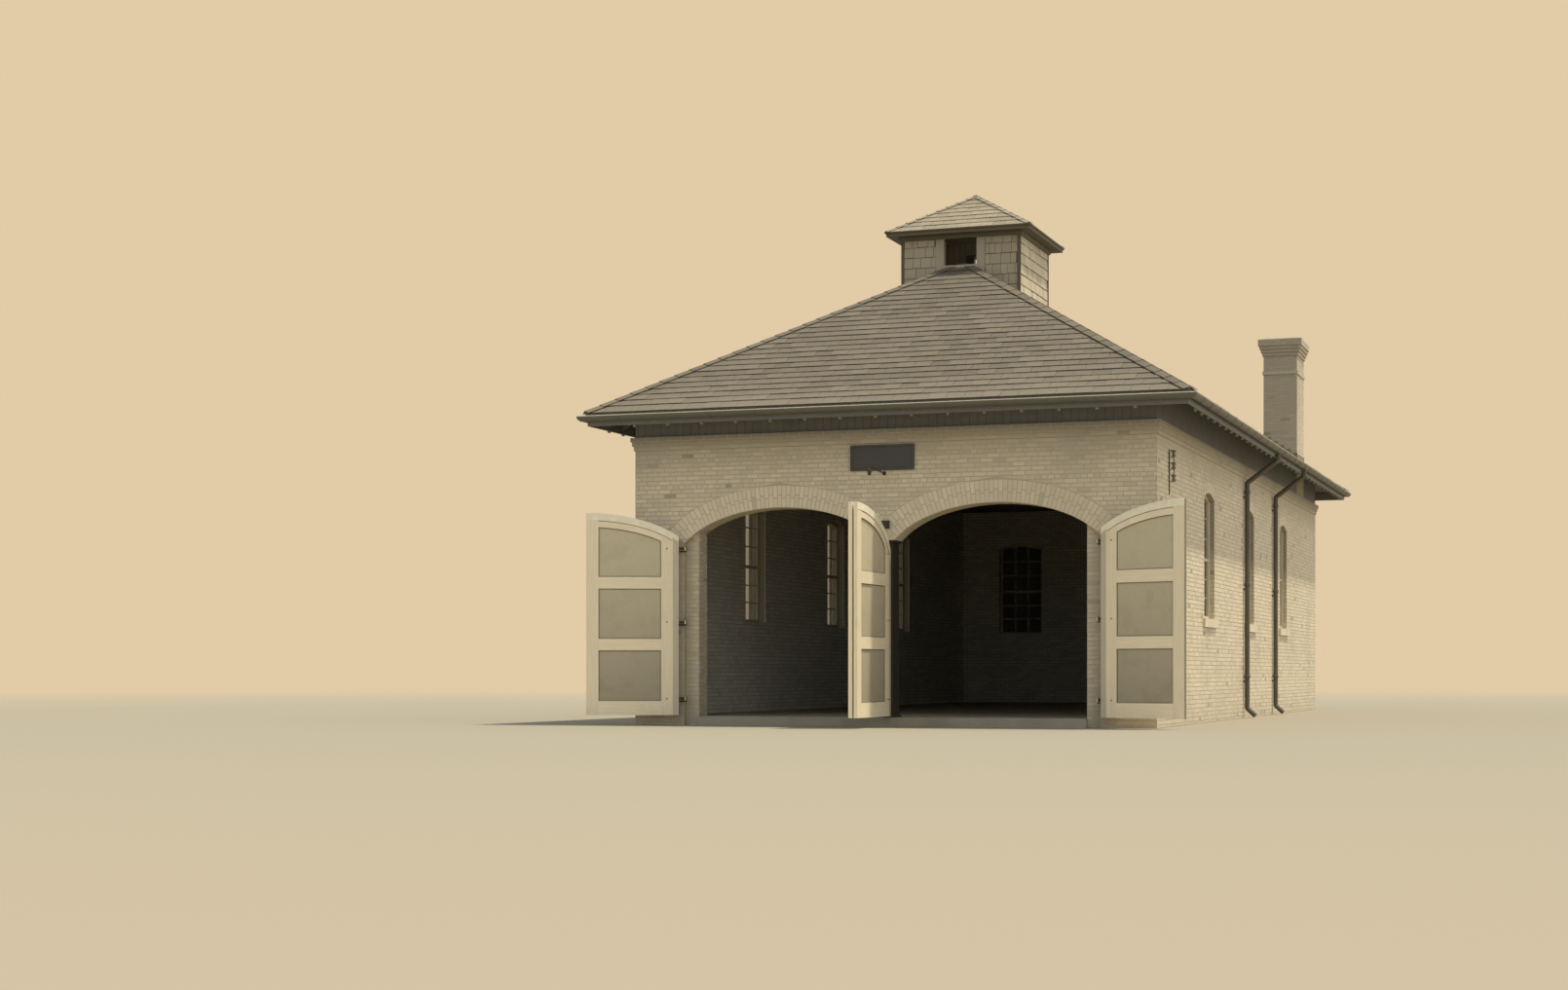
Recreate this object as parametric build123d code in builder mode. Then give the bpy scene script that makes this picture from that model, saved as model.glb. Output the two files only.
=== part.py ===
from build123d import *
import os
from math import cos, radians, sin, sqrt, tan

# Two-bay brick fire house with a hipped slate roof, a shingled cupola and arched double doors.
# X runs right along the front, Y runs back from the front, Z rises from the ground.
# The origin is the middle of the plan at ground level, and all lengths are in millimetres.

# Plan and walls
front_width = 9000
building_depth = 20500
front_wall_thickness = 450
side_wall_thickness = 330
wall_top = 4920
floor_top = 150
course_height = 75
corbel_courses = 3
corbel_step = 22

# Door arches
corner_pier_width = 900
door_nib_width = 240
middle_seat_half_width = 140
arch_foot_inset = 170
arch_centre_z = 2670
arch_rise = 1000
arch_ring_depth = 370
door_rebate = 80
masonry_seam = 0.3

# Iron post between the two bays
post_half_width = 90
post_wall = 20
post_plate = 30
post_base_spread = 40

# Door leaves
leaf_thickness = 60
leaf_floor_gap = 20
leaf_crown_gap = 70
outer_leaf_spread = 20
inner_leaf_spread = -25
leaf_meeting_gap = 12
leaf_face_setback = 5
outer_pin_inset = 40
outer_pin_proud = 30
outer_pin_to_leaf = 120
outer_open_angle = 157
inner_pin_x = 45
inner_pin_to_leaf = 20
inner_open_angle = 90
hinge_stile = 300
meeting_stile = 205
bottom_rail_top = 410
lock_rail_foot = 1270
lock_rail_top = 1465
upper_rail_foot = 2318
upper_rail_top = 2517
top_rail_depth = 235
panel_thickness = 25
panel_clearance = 0.3

# Hinges
outer_hinge_heights = (450, 1750, 3000)
inner_hinge_heights = (450, 1750, 2850)
strap_height = 60
strap_thickness = 8
strap_length = 230
outer_eye_radius = 20
inner_eye_radius = 18
pin_radius = 9
pin_clearance = 1
pin_above_eye = 15
hinge_arm_thickness = 20
hinge_arm_gap = 5
outer_arm_length = 140
outer_arm_depth = 20
inner_arm_half_width = 9
outer_lug_depth = 25
inner_lug_half_depth = 12

# Windows, alike on every wall that has them
window_width = 1100
window_sill_top = 1850
window_spring = 4000
window_rise = 110
side_window_first = 5060
side_window_pitch = 4880
side_window_count = 3
rear_window_pitch = 2700
rear_window_count = 3
sill_height = 150
sill_ear = 170
sill_bed = 200
sill_projection = 50
sash_setback = 100
sash_depth = 90
sash_border = 60
meeting_rail = 50
window_fit = 0.3
glass_thickness = 6

# Main roof and eaves
roof_pitch = 31.7
ridge_setback = 4900
roof_overhang = 650
roof_edge_top = 5310
roof_thickness = 50
frieze_thickness = 150
rafter_spacing = 610
rafter_width = 50
rafter_depth = 120
rafter_end_margin = 120
fascia_setback = 30
fascia_thickness = 25
gutter_width = 145
gutter_top_gap = 5
gutter_height = 132
gutter_skin = 15
gutter_chamfer = 62
cap_half_width = 130
cap_thickness = 15
cap_eave_setback = 90

# Cupola on the ridge
cupola_lead = 250
cupola_side = 2220
cupola_wall_thickness = 100
cupola_overhang = 245
cupola_wall_height = 465
cupola_eave_thickness = 80
cupola_rise = 830
cupola_roof_thickness = 60
cupola_frame_half_width = 465
cupola_jamb_width = 155
cupola_head_height = 45
cupola_foot_height = 50
cupola_frame_proud = 25
cupola_frame_gap = 3

# Chimney on the right wall near the back
chimney_front = 17100
chimney_depth = 1200
chimney_width = 745
chimney_top = 8500
chimney_cap_courses = 4
chimney_cap_step = 28
chimney_cap_crown = 150
chimney_string_foot = 7700
chimney_string_projection = 25
chimney_roof_gap = 3
flue_foot = 500
flue_width = 230
flue_depth = 600

# Rain pipes, the same on both long sides
pipe_places = (9100, 13100)
pipe_radius = 48
pipe_skin = 3
pipe_wall_gap = 25
pipe_neck_drop = 90
pipe_neck_foot = 4600
pipe_bend_radius = 140
pipe_shoe_height = 150
pipe_shoe_reach = 160
pipe_bracket_heights = (700, 2500, 4300)
pipe_bracket_height = 40
pipe_bracket_spread = 20

# Small fittings on the front and the right wall
sign_centre_x = -60
sign_width = 1100
sign_height = 425
sign_foot = 4240
sign_thickness = 30
sign_border = 30
sign_border_proud = 12
lamp_x = -30
lamp_z = 4190
lamp_reach = 820
lamp_arm_radius = 12
lamp_plate_radius = 50
lamp_plate_thickness = 12
lamp_shade_radius = 55
lamp_shade_height = 90
lamp_neck_radius = 18
box_width = 130
box_height = 130
box_depth = 60
box_foot = 3275
rack_front = 1040
rack_foot = 3800
rack_height = 730
rack_bar_width = 50
rack_bar_thickness = 12
rack_insulators = 3
rack_arm_reach = 110
rack_arm_radius = 10
insulator_radius = 38
insulator_height = 90
insulator_top_margin = 80
insulator_pitch = 230

# Values worked out from the ones above
half_width = front_width / 2
half_depth = building_depth / 2
front_y = -half_depth
rear_y = half_depth
inner_half_width = half_width - side_wall_thickness
room_front_y = front_y + front_wall_thickness
room_rear_y = rear_y - side_wall_thickness
outer_order_x = half_width - corner_pier_width
jamb_face_x = outer_order_x - door_nib_width
arch_centre_x = (outer_order_x + middle_seat_half_width) / 2
arch_half_span = outer_order_x - arch_centre_x + arch_foot_inset
outer_leaf_half_span = arch_half_span + outer_leaf_spread
inner_leaf_half_span = arch_half_span + inner_leaf_spread
outer_pin_x = outer_order_x - outer_pin_inset
side_slope = tan(radians(roof_pitch))
ridge_top = roof_edge_top + (roof_overhang + half_width) * side_slope
end_slope = (ridge_top - roof_edge_top) / (roof_overhang + ridge_setback)
ridge_front_y = front_y + ridge_setback
ridge_rear_y = rear_y - ridge_setback
cupola_soffit = ridge_top + cupola_wall_height
cupola_eave_top = cupola_soffit + cupola_eave_thickness
cupola_apex = cupola_eave_top + cupola_rise
leaf_foot = floor_top + leaf_floor_gap
far = 4 * building_depth


def arch_height(distance, grow=0.0):
    """Height of the arch curve at a distance from its middle, with the curve grown outwards."""
    half_span = arch_half_span + grow
    return arch_centre_z + (arch_rise + grow) * sqrt(1 - (distance / half_span) ** 2)


spring_z = arch_height(outer_order_x - arch_centre_x)


def roof_top(outward, slope):
    """Top of the roof at a distance out from the wall face."""
    return roof_edge_top + (roof_overhang - outward) * slope


def roof_under(outward, slope, depth=roof_thickness):
    """Height at a depth square to the roof, at a distance out from the wall face."""
    return roof_top(outward, slope) - depth * sqrt(1 + slope ** 2)


def save(piece, name):
    """Labels a finished piece and writes its file."""
    piece.label = name
    export_step(piece, f"parts/{name}.step")
    print(f"{name}: {len(piece.solids())} solids, {piece.volume / 1e9:.4f} m3")


def corbel_projection(course):
    """How far a corbelled course stands out from the wall, counted from the lowest."""
    return (course + 1) * corbel_step


def corbel_foot(course):
    """Height of the underside of a corbelled course."""
    return wall_top - (corbel_courses - course) * course_height


os.makedirs("parts", exist_ok=True)

front_face = Plane.XZ.offset(-front_y)

# Floor of the engine room, with a tongue through the doorways
with BuildPart() as floor_slab:
    with BuildSketch():
        with Locations((0, (room_front_y + room_rear_y) / 2)):
            Rectangle(2 * inner_half_width, room_rear_y - room_front_y)
        with Locations((0, (front_y + room_front_y) / 2)):
            Rectangle(2 * jamb_face_x, front_wall_thickness)
    extrude(amount=floor_top)
save(floor_slab.part, "floor_slab")

# Brick piers at the corners of the front, and the nibs that the doors close against
for side, hand in (("left", -1), ("right", 1)):
    with BuildPart() as front_pier:
        with BuildSketch():
            with Locations((hand * (outer_order_x + half_width) / 2, front_y + front_wall_thickness / 2)):
                Rectangle(half_width - outer_order_x, front_wall_thickness)
        extrude(amount=spring_z)
    save(front_pier.part, f"front_pier_{side}")

    with BuildPart() as door_jamb:
        with BuildSketch(front_face.offset(-door_rebate)):
            with Locations((hand * arch_centre_x, arch_centre_z)):
                Ellipse(arch_half_span - masonry_seam, arch_rise - masonry_seam)
            with Locations((hand * arch_centre_x, arch_centre_z / 2)):
                Rectangle(2 * (arch_half_span - masonry_seam), arch_centre_z)
            with Locations((hand * (jamb_face_x + outer_order_x) / 2, wall_top / 2)):
                Rectangle(outer_order_x - jamb_face_x, wall_top, mode=Mode.INTERSECT)
        extrude(amount=door_rebate - front_wall_thickness)
    save(door_jamb.part, f"door_jamb_{side}")

    # The ring of bricks on edge over the doorway, cut at the middle of the front
    with BuildPart() as arch_ring:
        with BuildSketch(front_face):
            with Locations((hand * arch_centre_x, arch_centre_z)):
                Ellipse(arch_half_span + arch_ring_depth, arch_rise + arch_ring_depth)
                Ellipse(arch_half_span, arch_rise, mode=Mode.SUBTRACT)
            with Locations((hand * half_width / 2, (spring_z + wall_top) / 2)):
                Rectangle(half_width, wall_top - spring_z, mode=Mode.INTERSECT)
        extrude(amount=-front_wall_thickness)
    save(arch_ring.part, f"arch_ring_{side}")

# Hollow iron post between the bays, set back by the depth of the door rebate
post_depth = front_wall_thickness - door_rebate
post_y = front_y + door_rebate + post_depth / 2
with BuildPart() as middle_post:
    with BuildSketch(Plane.XY.offset(floor_top)):
        with Locations((0, post_y)):
            Rectangle(2 * post_half_width, post_depth)
            Rectangle(2 * (post_half_width - post_wall), post_depth - 2 * post_wall, mode=Mode.SUBTRACT)
    extrude(amount=spring_z - floor_top)
    for plate_foot, plate_half_width in (
        (floor_top, post_half_width + post_base_spread),
        (spring_z - post_plate, middle_seat_half_width),
    ):
        with BuildSketch(Plane.XY.offset(plate_foot)):
            with Locations((0, post_y)):
                Rectangle(2 * plate_half_width, post_depth)
        extrude(amount=post_plate)
save(middle_post.part, "middle_post")

# Brickwork over the arches, with the corbelled courses under the eaves
with BuildPart() as front_wall:
    with BuildSketch(front_face):
        with Locations((0, (spring_z + wall_top) / 2)):
            Rectangle(front_width, wall_top - spring_z)
        with Locations((-arch_centre_x, arch_centre_z), (arch_centre_x, arch_centre_z)):
            Ellipse(
                arch_half_span + arch_ring_depth + masonry_seam,
                arch_rise + arch_ring_depth + masonry_seam,
                mode=Mode.SUBTRACT,
            )
    extrude(amount=-front_wall_thickness)
    for course in range(corbel_courses):
        out = corbel_projection(course)
        with BuildSketch(Plane.XY.offset(corbel_foot(course))):
            with Locations((0, front_y + (front_wall_thickness - out) / 2)):
                Rectangle(front_width + 2 * out, front_wall_thickness + out)
        extrude(amount=course_height)
save(front_wall.part, "front_wall")


def window_face(centre, inset, foot, head_grow):
    """Closed outline with a segmental head, for use inside a sketch."""
    half = window_width / 2 - inset
    radius = (window_width ** 2 / 4 + window_rise ** 2) / (2 * window_rise)
    middle_z = window_spring + window_rise - radius
    head_radius = radius + head_grow
    spring = middle_z + sqrt(head_radius ** 2 - half ** 2)
    with BuildLine() as outline:
        Polyline((centre - half, spring), (centre - half, foot), (centre + half, foot), (centre + half, spring))
        ThreePointArc((centre + half, spring), (centre, middle_z + head_radius), (centre - half, spring))
    make_face(outline.edges())


side_windows = [front_y + side_window_first + side_window_pitch * i for i in range(side_window_count)]
rear_windows = [rear_window_pitch * (i - (rear_window_count - 1) / 2) for i in range(rear_window_count)]

# For each wall with windows: the plane of its outer face, the sign of the way out, and its windows
window_walls = {
    "left": (Plane.YZ.offset(-half_width), -1, side_windows),
    "right": (Plane.YZ.offset(half_width), 1, side_windows),
    "rear": (Plane.XZ.offset(-rear_y), -1, rear_windows),
}


def cut_windows(outer_face, hand, centres):
    """Cuts the window openings and the beds of their sills in the wall that is being built."""
    with BuildSketch(outer_face) as openings:
        for centre in centres:
            window_face(centre, 0, window_sill_top, 0)
    extrude(openings.sketch, amount=-hand * side_wall_thickness, mode=Mode.SUBTRACT)
    with BuildSketch(outer_face) as beds:
        with Locations(*[(centre, window_sill_top - sill_height / 2) for centre in centres]):
            Rectangle(window_width + 2 * sill_ear, sill_height)
    extrude(beds.sketch, amount=-hand * sill_bed, mode=Mode.SUBTRACT)


# Long walls between the front and the rear wall
for side in ("left", "right"):
    outer_face, hand, centres = window_walls[side]
    with BuildPart() as side_wall:
        with BuildSketch():
            with Locations((hand * (half_width - side_wall_thickness / 2), (room_front_y + room_rear_y) / 2)):
                Rectangle(side_wall_thickness, room_rear_y - room_front_y)
        extrude(amount=wall_top)
        for course in range(corbel_courses):
            out = corbel_projection(course)
            with BuildSketch(Plane.XY.offset(corbel_foot(course))):
                with Locations((hand * (half_width + out / 2), (room_front_y + room_rear_y) / 2)):
                    Rectangle(out, room_rear_y - room_front_y)
            extrude(amount=course_height)
        cut_windows(outer_face, hand, centres)
    save(side_wall.part, f"{side}_wall")

with BuildPart() as rear_wall:
    with BuildSketch():
        with Locations((0, (room_rear_y + rear_y) / 2)):
            Rectangle(front_width, side_wall_thickness)
    extrude(amount=wall_top)
    for course in range(corbel_courses):
        out = corbel_projection(course)
        with BuildSketch(Plane.XY.offset(corbel_foot(course))):
            with Locations((0, rear_y + (out - side_wall_thickness) / 2)):
                Rectangle(front_width + 2 * out, side_wall_thickness + out)
        extrude(amount=course_height)
    cut_windows(*window_walls["rear"])
save(rear_wall.part, "rear_wall")

# Sashes with one pane above the meeting rail and one below
meeting_rail_foot = (window_sill_top + window_spring - meeting_rail) / 2
for side, (outer_face, hand, centres) in window_walls.items():
    with BuildPart() as sashes:
        with BuildSketch(outer_face.offset(-hand * sash_setback)):
            for centre in centres:
                window_face(centre, window_fit, window_sill_top, -window_fit)
        extrude(amount=-hand * sash_depth)
        with BuildSketch(outer_face.offset(-hand * sash_setback)):
            for centre in centres:
                window_face(centre, sash_border, meeting_rail_foot + meeting_rail, -sash_border)
            pane_height = meeting_rail_foot - window_sill_top - sash_border
            with Locations(*[(centre, meeting_rail_foot - pane_height / 2) for centre in centres]):
                Rectangle(window_width - 2 * sash_border, pane_height)
        extrude(amount=-hand * sash_depth, mode=Mode.SUBTRACT)
    save(sashes.part, f"window_sashes_{side}")

with BuildPart() as window_glass:
    for outer_face, hand, centres in window_walls.values():
        glass_face = outer_face.offset(-hand * (sash_setback + (sash_depth - glass_thickness) / 2))
        with BuildSketch(glass_face):
            for centre in centres:
                window_face(
                    centre,
                    sash_border + window_fit,
                    meeting_rail_foot + meeting_rail + window_fit,
                    -sash_border - window_fit,
                )
            pane_height = meeting_rail_foot - window_sill_top - sash_border - 2 * window_fit
            with Locations(*[(centre, meeting_rail_foot - window_fit - pane_height / 2) for centre in centres]):
                Rectangle(window_width - 2 * (sash_border + window_fit), pane_height)
        extrude(amount=-hand * glass_thickness)
save(window_glass.part, "window_glass")

with BuildPart() as window_sills:
    for outer_face, hand, centres in window_walls.values():
        with BuildSketch(outer_face.offset(hand * sill_projection)):
            with Locations(*[(centre, window_sill_top - sill_height / 2) for centre in centres]):
                Rectangle(window_width + 2 * sill_ear, sill_height)
        extrude(amount=-hand * (sill_projection + sill_bed))
save(window_sills.part, "window_sills")

# Each side of the roof is worked in a section square to it, and mitred along the hips.
# A side has its way out, the distance of its wall from the middle of the plan, and its plan wedge.
edge_x = half_width + roof_overhang
edge_y = half_depth + roof_overhang
reach = 2 * roof_overhang
long_wedge = (
    (0, ridge_front_y),
    (edge_x, -edge_y),
    (edge_x + reach, -edge_y - reach),
    (edge_x + reach, edge_y + reach),
    (edge_x, edge_y),
    (0, ridge_rear_y),
)
end_wedge = (
    (0, ridge_rear_y),
    (edge_x, edge_y),
    (edge_x + reach, edge_y + reach),
    (-edge_x - reach, edge_y + reach),
    (-edge_x, edge_y),
)
roof_sides = {
    "front": ((0, -1), half_depth, half_width, end_slope, [(x, -y) for x, y in end_wedge]),
    "rear": ((0, 1), half_depth, half_width, end_slope, end_wedge),
    "left": ((-1, 0), half_width, half_depth, side_slope, [(-x, y) for x, y in long_wedge]),
    "right": ((1, 0), half_width, half_depth, side_slope, long_wedge),
}


def section_plane(way_out, wall_distance, along=0.0):
    """Plane square to a wall: its x runs out from the wall face, its y runs up."""
    out = Vector(way_out[0], way_out[1], 0)
    line = out.cross(Vector(0, 0, 1))
    return Plane(origin=out * wall_distance + line * along, x_dir=out, z_dir=line)


def mitre(wedge):
    """Keeps what lies over the plan wedge, in the part that is being built."""
    with BuildSketch() as plan:
        Polygon(*wedge, align=None)
    extrude(plan.sketch, amount=2 * cupola_apex, mode=Mode.INTERSECT)


chimney_x0 = half_width - chimney_width
chimney_y0 = front_y + chimney_front
chimney_y1 = chimney_y0 + chimney_depth


def cut_chimney_hole(gap):
    """Takes the room of the chimney shaft out of the part that is being built."""
    with BuildSketch(Plane.XY.offset(wall_top)) as hole:
        with Locations(((chimney_x0 + half_width) / 2, (chimney_y0 + chimney_y1) / 2)):
            Rectangle(chimney_width + 2 * gap, chimney_depth + 2 * gap)
    extrude(hole.sketch, amount=cupola_apex, mode=Mode.SUBTRACT)


fascia_outer = roof_overhang - fascia_setback
fascia_inner = fascia_outer - fascia_thickness
gutter_outer = fascia_outer + gutter_width
gutter_top = roof_under(roof_overhang, side_slope) - gutter_top_gap
gutter_foot = gutter_top - gutter_height

for side, (way_out, wall_distance, half_length, slope, wedge) in roof_sides.items():
    # Frieze board on the wall, cut to the roof
    with BuildPart() as frieze:
        with BuildSketch(section_plane(way_out, wall_distance, -half_length)):
            Polygon(
                (0, wall_top),
                (0, roof_under(0, slope)),
                (-frieze_thickness, roof_under(-frieze_thickness, slope)),
                (-frieze_thickness, wall_top),
                align=None,
            )
        extrude(amount=2 * half_length)
        mitre(wedge)
        if side == "right":
            cut_chimney_hole(0)
    save(frieze.part, f"frieze_{side}")

    # Fascia board with the gutter that it carries
    with BuildPart() as gutter:
        with BuildSketch(section_plane(way_out, wall_distance, -2 * half_depth)):
            Polygon(
                (fascia_inner, roof_under(fascia_inner, slope)),
                (fascia_inner, gutter_foot),
                (gutter_outer - gutter_chamfer, gutter_foot),
                (gutter_outer, gutter_foot + gutter_chamfer),
                (gutter_outer, gutter_top),
                (gutter_outer - gutter_skin, gutter_top),
                (gutter_outer - gutter_skin, gutter_foot + gutter_chamfer + gutter_skin / 2),
                (gutter_outer - gutter_chamfer - gutter_skin / 2, gutter_foot + gutter_skin),
                (fascia_outer, gutter_foot + gutter_skin),
                (fascia_outer, roof_under(fascia_outer, slope)),
                align=None,
            )
        extrude(amount=4 * half_depth)
        mitre(wedge)
    save(gutter.part, f"gutter_{side}")

    # Roof slope, drawn up to the ridge
    roof_reach = (ridge_top - roof_edge_top) / slope - roof_overhang
    with BuildPart() as roof:
        with BuildSketch(section_plane(way_out, wall_distance, -2 * half_depth)):
            Polygon(
                (roof_overhang, roof_under(roof_overhang, slope)),
                (roof_overhang, roof_top(roof_overhang, slope)),
                (-roof_reach, roof_top(-roof_reach, slope)),
                (-roof_reach, roof_under(-roof_reach, slope)),
                align=None,
            )
        extrude(amount=4 * half_depth)
        mitre(wedge)
        if side == "right":
            cut_chimney_hole(chimney_roof_gap)
    save(roof.part, f"roof_{side}")

# Rafter tails between the frieze boards and the fascia boards
with BuildPart() as rafter_tails:
    for way_out, wall_distance, half_length, slope, wedge in roof_sides.values():
        rafter_count = int(2 * (half_length - rafter_end_margin) // rafter_spacing) + 1
        for index in range(rafter_count):
            along = rafter_spacing * (index - (rafter_count - 1) / 2)
            with BuildSketch(section_plane(way_out, wall_distance, along - rafter_width / 2)):
                Polygon(
                    (0, roof_under(0, slope)),
                    (0, roof_under(0, slope, roof_thickness + rafter_depth)),
                    (fascia_inner, roof_under(fascia_inner, slope, roof_thickness + rafter_depth)),
                    (fascia_inner, roof_under(fascia_inner, slope)),
                    align=None,
                )
            extrude(amount=rafter_width)
save(rafter_tails.part, "rafter_tails")

# Everything under the top of the main roof, used to cut what stands on it
with BuildPart() as roof_mass:
    with BuildSketch(Plane.XZ.offset(-far / 2)):
        Polygon(
            (-half_width - roof_overhang, roof_edge_top),
            (0, ridge_top),
            (half_width + roof_overhang, roof_edge_top),
            (half_width + roof_overhang, 0),
            (-half_width - roof_overhang, 0),
            align=None,
        )
    extrude(amount=far)
    with BuildSketch(Plane.YZ.offset(-far / 2)):
        Polygon(
            (front_y - roof_overhang, roof_edge_top),
            (ridge_front_y, ridge_top),
            (ridge_rear_y, ridge_top),
            (rear_y + roof_overhang, roof_edge_top),
            (rear_y + roof_overhang, 0),
            (front_y - roof_overhang, 0),
            align=None,
        )
    extrude(amount=far, mode=Mode.INTERSECT)

cupola_y0 = ridge_front_y - cupola_lead
cupola_y1 = cupola_y0 + cupola_side
cupola_y = (cupola_y0 + cupola_y1) / 2
cupola_half = cupola_side / 2
cupola_eave_half = cupola_half + cupola_overhang
cupola_slope = (cupola_apex - cupola_eave_top) / cupola_eave_half
cupola_roof_drop = cupola_roof_thickness * sqrt(1 + cupola_slope ** 2)

# Caps over the ridge and the hips, cut off at the cupola
hip_length = sqrt(edge_x ** 2 + (ridge_setback + roof_overhang) ** 2)
across_x = cap_half_width * (ridge_setback + roof_overhang) / hip_length
across_y = cap_half_width * edge_x / hip_length
hip_share = 1 - cap_eave_setback / hip_length
foot_x = edge_x * hip_share
foot_y = (ridge_setback + roof_overhang) * hip_share
with BuildPart() as roof_caps:
    with BuildSketch():
        with Locations((0, (cupola_y + ridge_rear_y) / 2)):
            Rectangle(2 * cap_half_width, ridge_rear_y - cupola_y)
        for end_y, back in ((ridge_front_y, -1), (ridge_rear_y, 1)):
            for hand in (-1, 1):
                Polygon(
                    (hand * across_x, end_y - back * across_y),
                    (-hand * across_x, end_y + back * across_y),
                    (hand * (foot_x - across_x), end_y + back * (foot_y + across_y)),
                    (hand * (foot_x + across_x), end_y + back * (foot_y - across_y)),
                    align=None,
                )
    extrude(amount=cupola_apex)
    add(Location((0, 0, cap_thickness)) * roof_mass.part, mode=Mode.INTERSECT)
    add(roof_mass.part, mode=Mode.SUBTRACT)
    with BuildSketch(Plane.XY.offset(wall_top)):
        with Locations((0, cupola_y)):
            Rectangle(cupola_side, cupola_side + 2 * (cupola_frame_proud + cupola_frame_gap))
    extrude(amount=cupola_apex, mode=Mode.SUBTRACT)
save(roof_caps.part, "ridge_and_hip_caps")

# Four timber walls that stand on the roof, open at the front and the back
with BuildPart() as cupola_walls:
    with BuildSketch(Plane.XY.offset(wall_top)):
        with Locations((0, cupola_y)):
            Rectangle(cupola_side, cupola_side)
            inside = cupola_side - 2 * cupola_wall_thickness
            Rectangle(inside, inside, mode=Mode.SUBTRACT)
            Rectangle(2 * cupola_frame_half_width, 2 * cupola_side, mode=Mode.SUBTRACT)
    extrude(amount=cupola_soffit - wall_top)
    add(roof_mass.part, mode=Mode.SUBTRACT)
save(cupola_walls.part, "cupola_walls")

# Frames of the two openings, scribed to the roof
front_cut = roof_top(front_y - cupola_y0, end_slope)
with BuildPart() as cupola_frames:
    frame_depth = cupola_wall_thickness + cupola_frame_proud
    for frame_y, back in ((cupola_y0 - cupola_frame_proud, -1), (cupola_y1 + cupola_frame_proud, 1)):
        with BuildSketch(Plane.XZ.offset(-frame_y)):
            with Locations((0, (wall_top + cupola_soffit) / 2)):
                Rectangle(2 * cupola_frame_half_width, cupola_soffit - wall_top)
            clear_foot = front_cut + cupola_foot_height
            clear_head = cupola_soffit - cupola_head_height
            with Locations((0, (clear_foot + clear_head) / 2)):
                clear_width = 2 * (cupola_frame_half_width - cupola_jamb_width)
                Rectangle(clear_width, clear_head - clear_foot, mode=Mode.SUBTRACT)
        extrude(amount=back * frame_depth)
    add(roof_mass.part, mode=Mode.SUBTRACT)
save(cupola_frames.part, "cupola_frames")

# Low pyramid with boxed eaves, and the room under it inside the walls
cupola_inner_half = cupola_half - cupola_wall_thickness
cupola_faces = ((Plane.XZ.offset(-far / 2), 0), (Plane.YZ.offset(-far / 2), cupola_y))


def pyramid_section(middle, half, apex):
    """Section through a pyramid roof that stands on the cupola's soffit."""
    Polygon(
        (middle - half, cupola_soffit),
        (middle - half, apex - half * cupola_slope),
        (middle, apex),
        (middle + half, apex - half * cupola_slope),
        (middle + half, cupola_soffit),
        align=None,
    )


with BuildPart() as cupola_room:
    for index, (face, middle) in enumerate(cupola_faces):
        with BuildSketch(face):
            pyramid_section(middle, cupola_inner_half, cupola_apex - cupola_roof_drop)
        extrude(amount=far, mode=Mode.INTERSECT if index else Mode.ADD)

with BuildPart() as cupola_roof:
    for index, (face, middle) in enumerate(cupola_faces):
        with BuildSketch(face):
            pyramid_section(middle, cupola_eave_half, cupola_apex)
        extrude(amount=far, mode=Mode.INTERSECT if index else Mode.ADD)
    add(cupola_room.part, mode=Mode.SUBTRACT)
save(cupola_roof.part, "cupola_roof")

# Chimney: a shaft inside the wall up to the wall top, then the full stack over the wall
chimney_centre = ((chimney_x0 + half_width) / 2, (chimney_y0 + chimney_y1) / 2)
cap_foot = chimney_top - chimney_cap_crown - (chimney_cap_courses - 1) * course_height
with BuildPart() as chimney:
    with BuildSketch(Plane.XY.offset(floor_top)):
        with Locations(((chimney_x0 + inner_half_width) / 2, chimney_centre[1])):
            Rectangle(inner_half_width - chimney_x0, chimney_depth)
    extrude(amount=wall_top - floor_top)
    with BuildSketch(Plane.XY.offset(wall_top)):
        with Locations(chimney_centre):
            Rectangle(chimney_width, chimney_depth)
    extrude(amount=chimney_top - wall_top)
    with BuildSketch(Plane.XY.offset(chimney_string_foot)):
        with Locations(chimney_centre):
            Rectangle(chimney_width + 2 * chimney_string_projection, chimney_depth + 2 * chimney_string_projection)
    extrude(amount=course_height)
    for course in range(chimney_cap_courses):
        out = (course + 1) * chimney_cap_step
        with BuildSketch(Plane.XY.offset(cap_foot + course * course_height)):
            with Locations(chimney_centre):
                Rectangle(chimney_width + 2 * out, chimney_depth + 2 * out)
        extrude(amount=chimney_cap_crown if course == chimney_cap_courses - 1 else course_height)
    with BuildSketch(Plane.XY.offset(flue_foot)):
        with Locations(((chimney_x0 + inner_half_width) / 2, chimney_centre[1])):
            Rectangle(flue_width, flue_depth)
    extrude(amount=chimney_top, mode=Mode.SUBTRACT)
save(chimney.part, "chimney")

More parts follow.
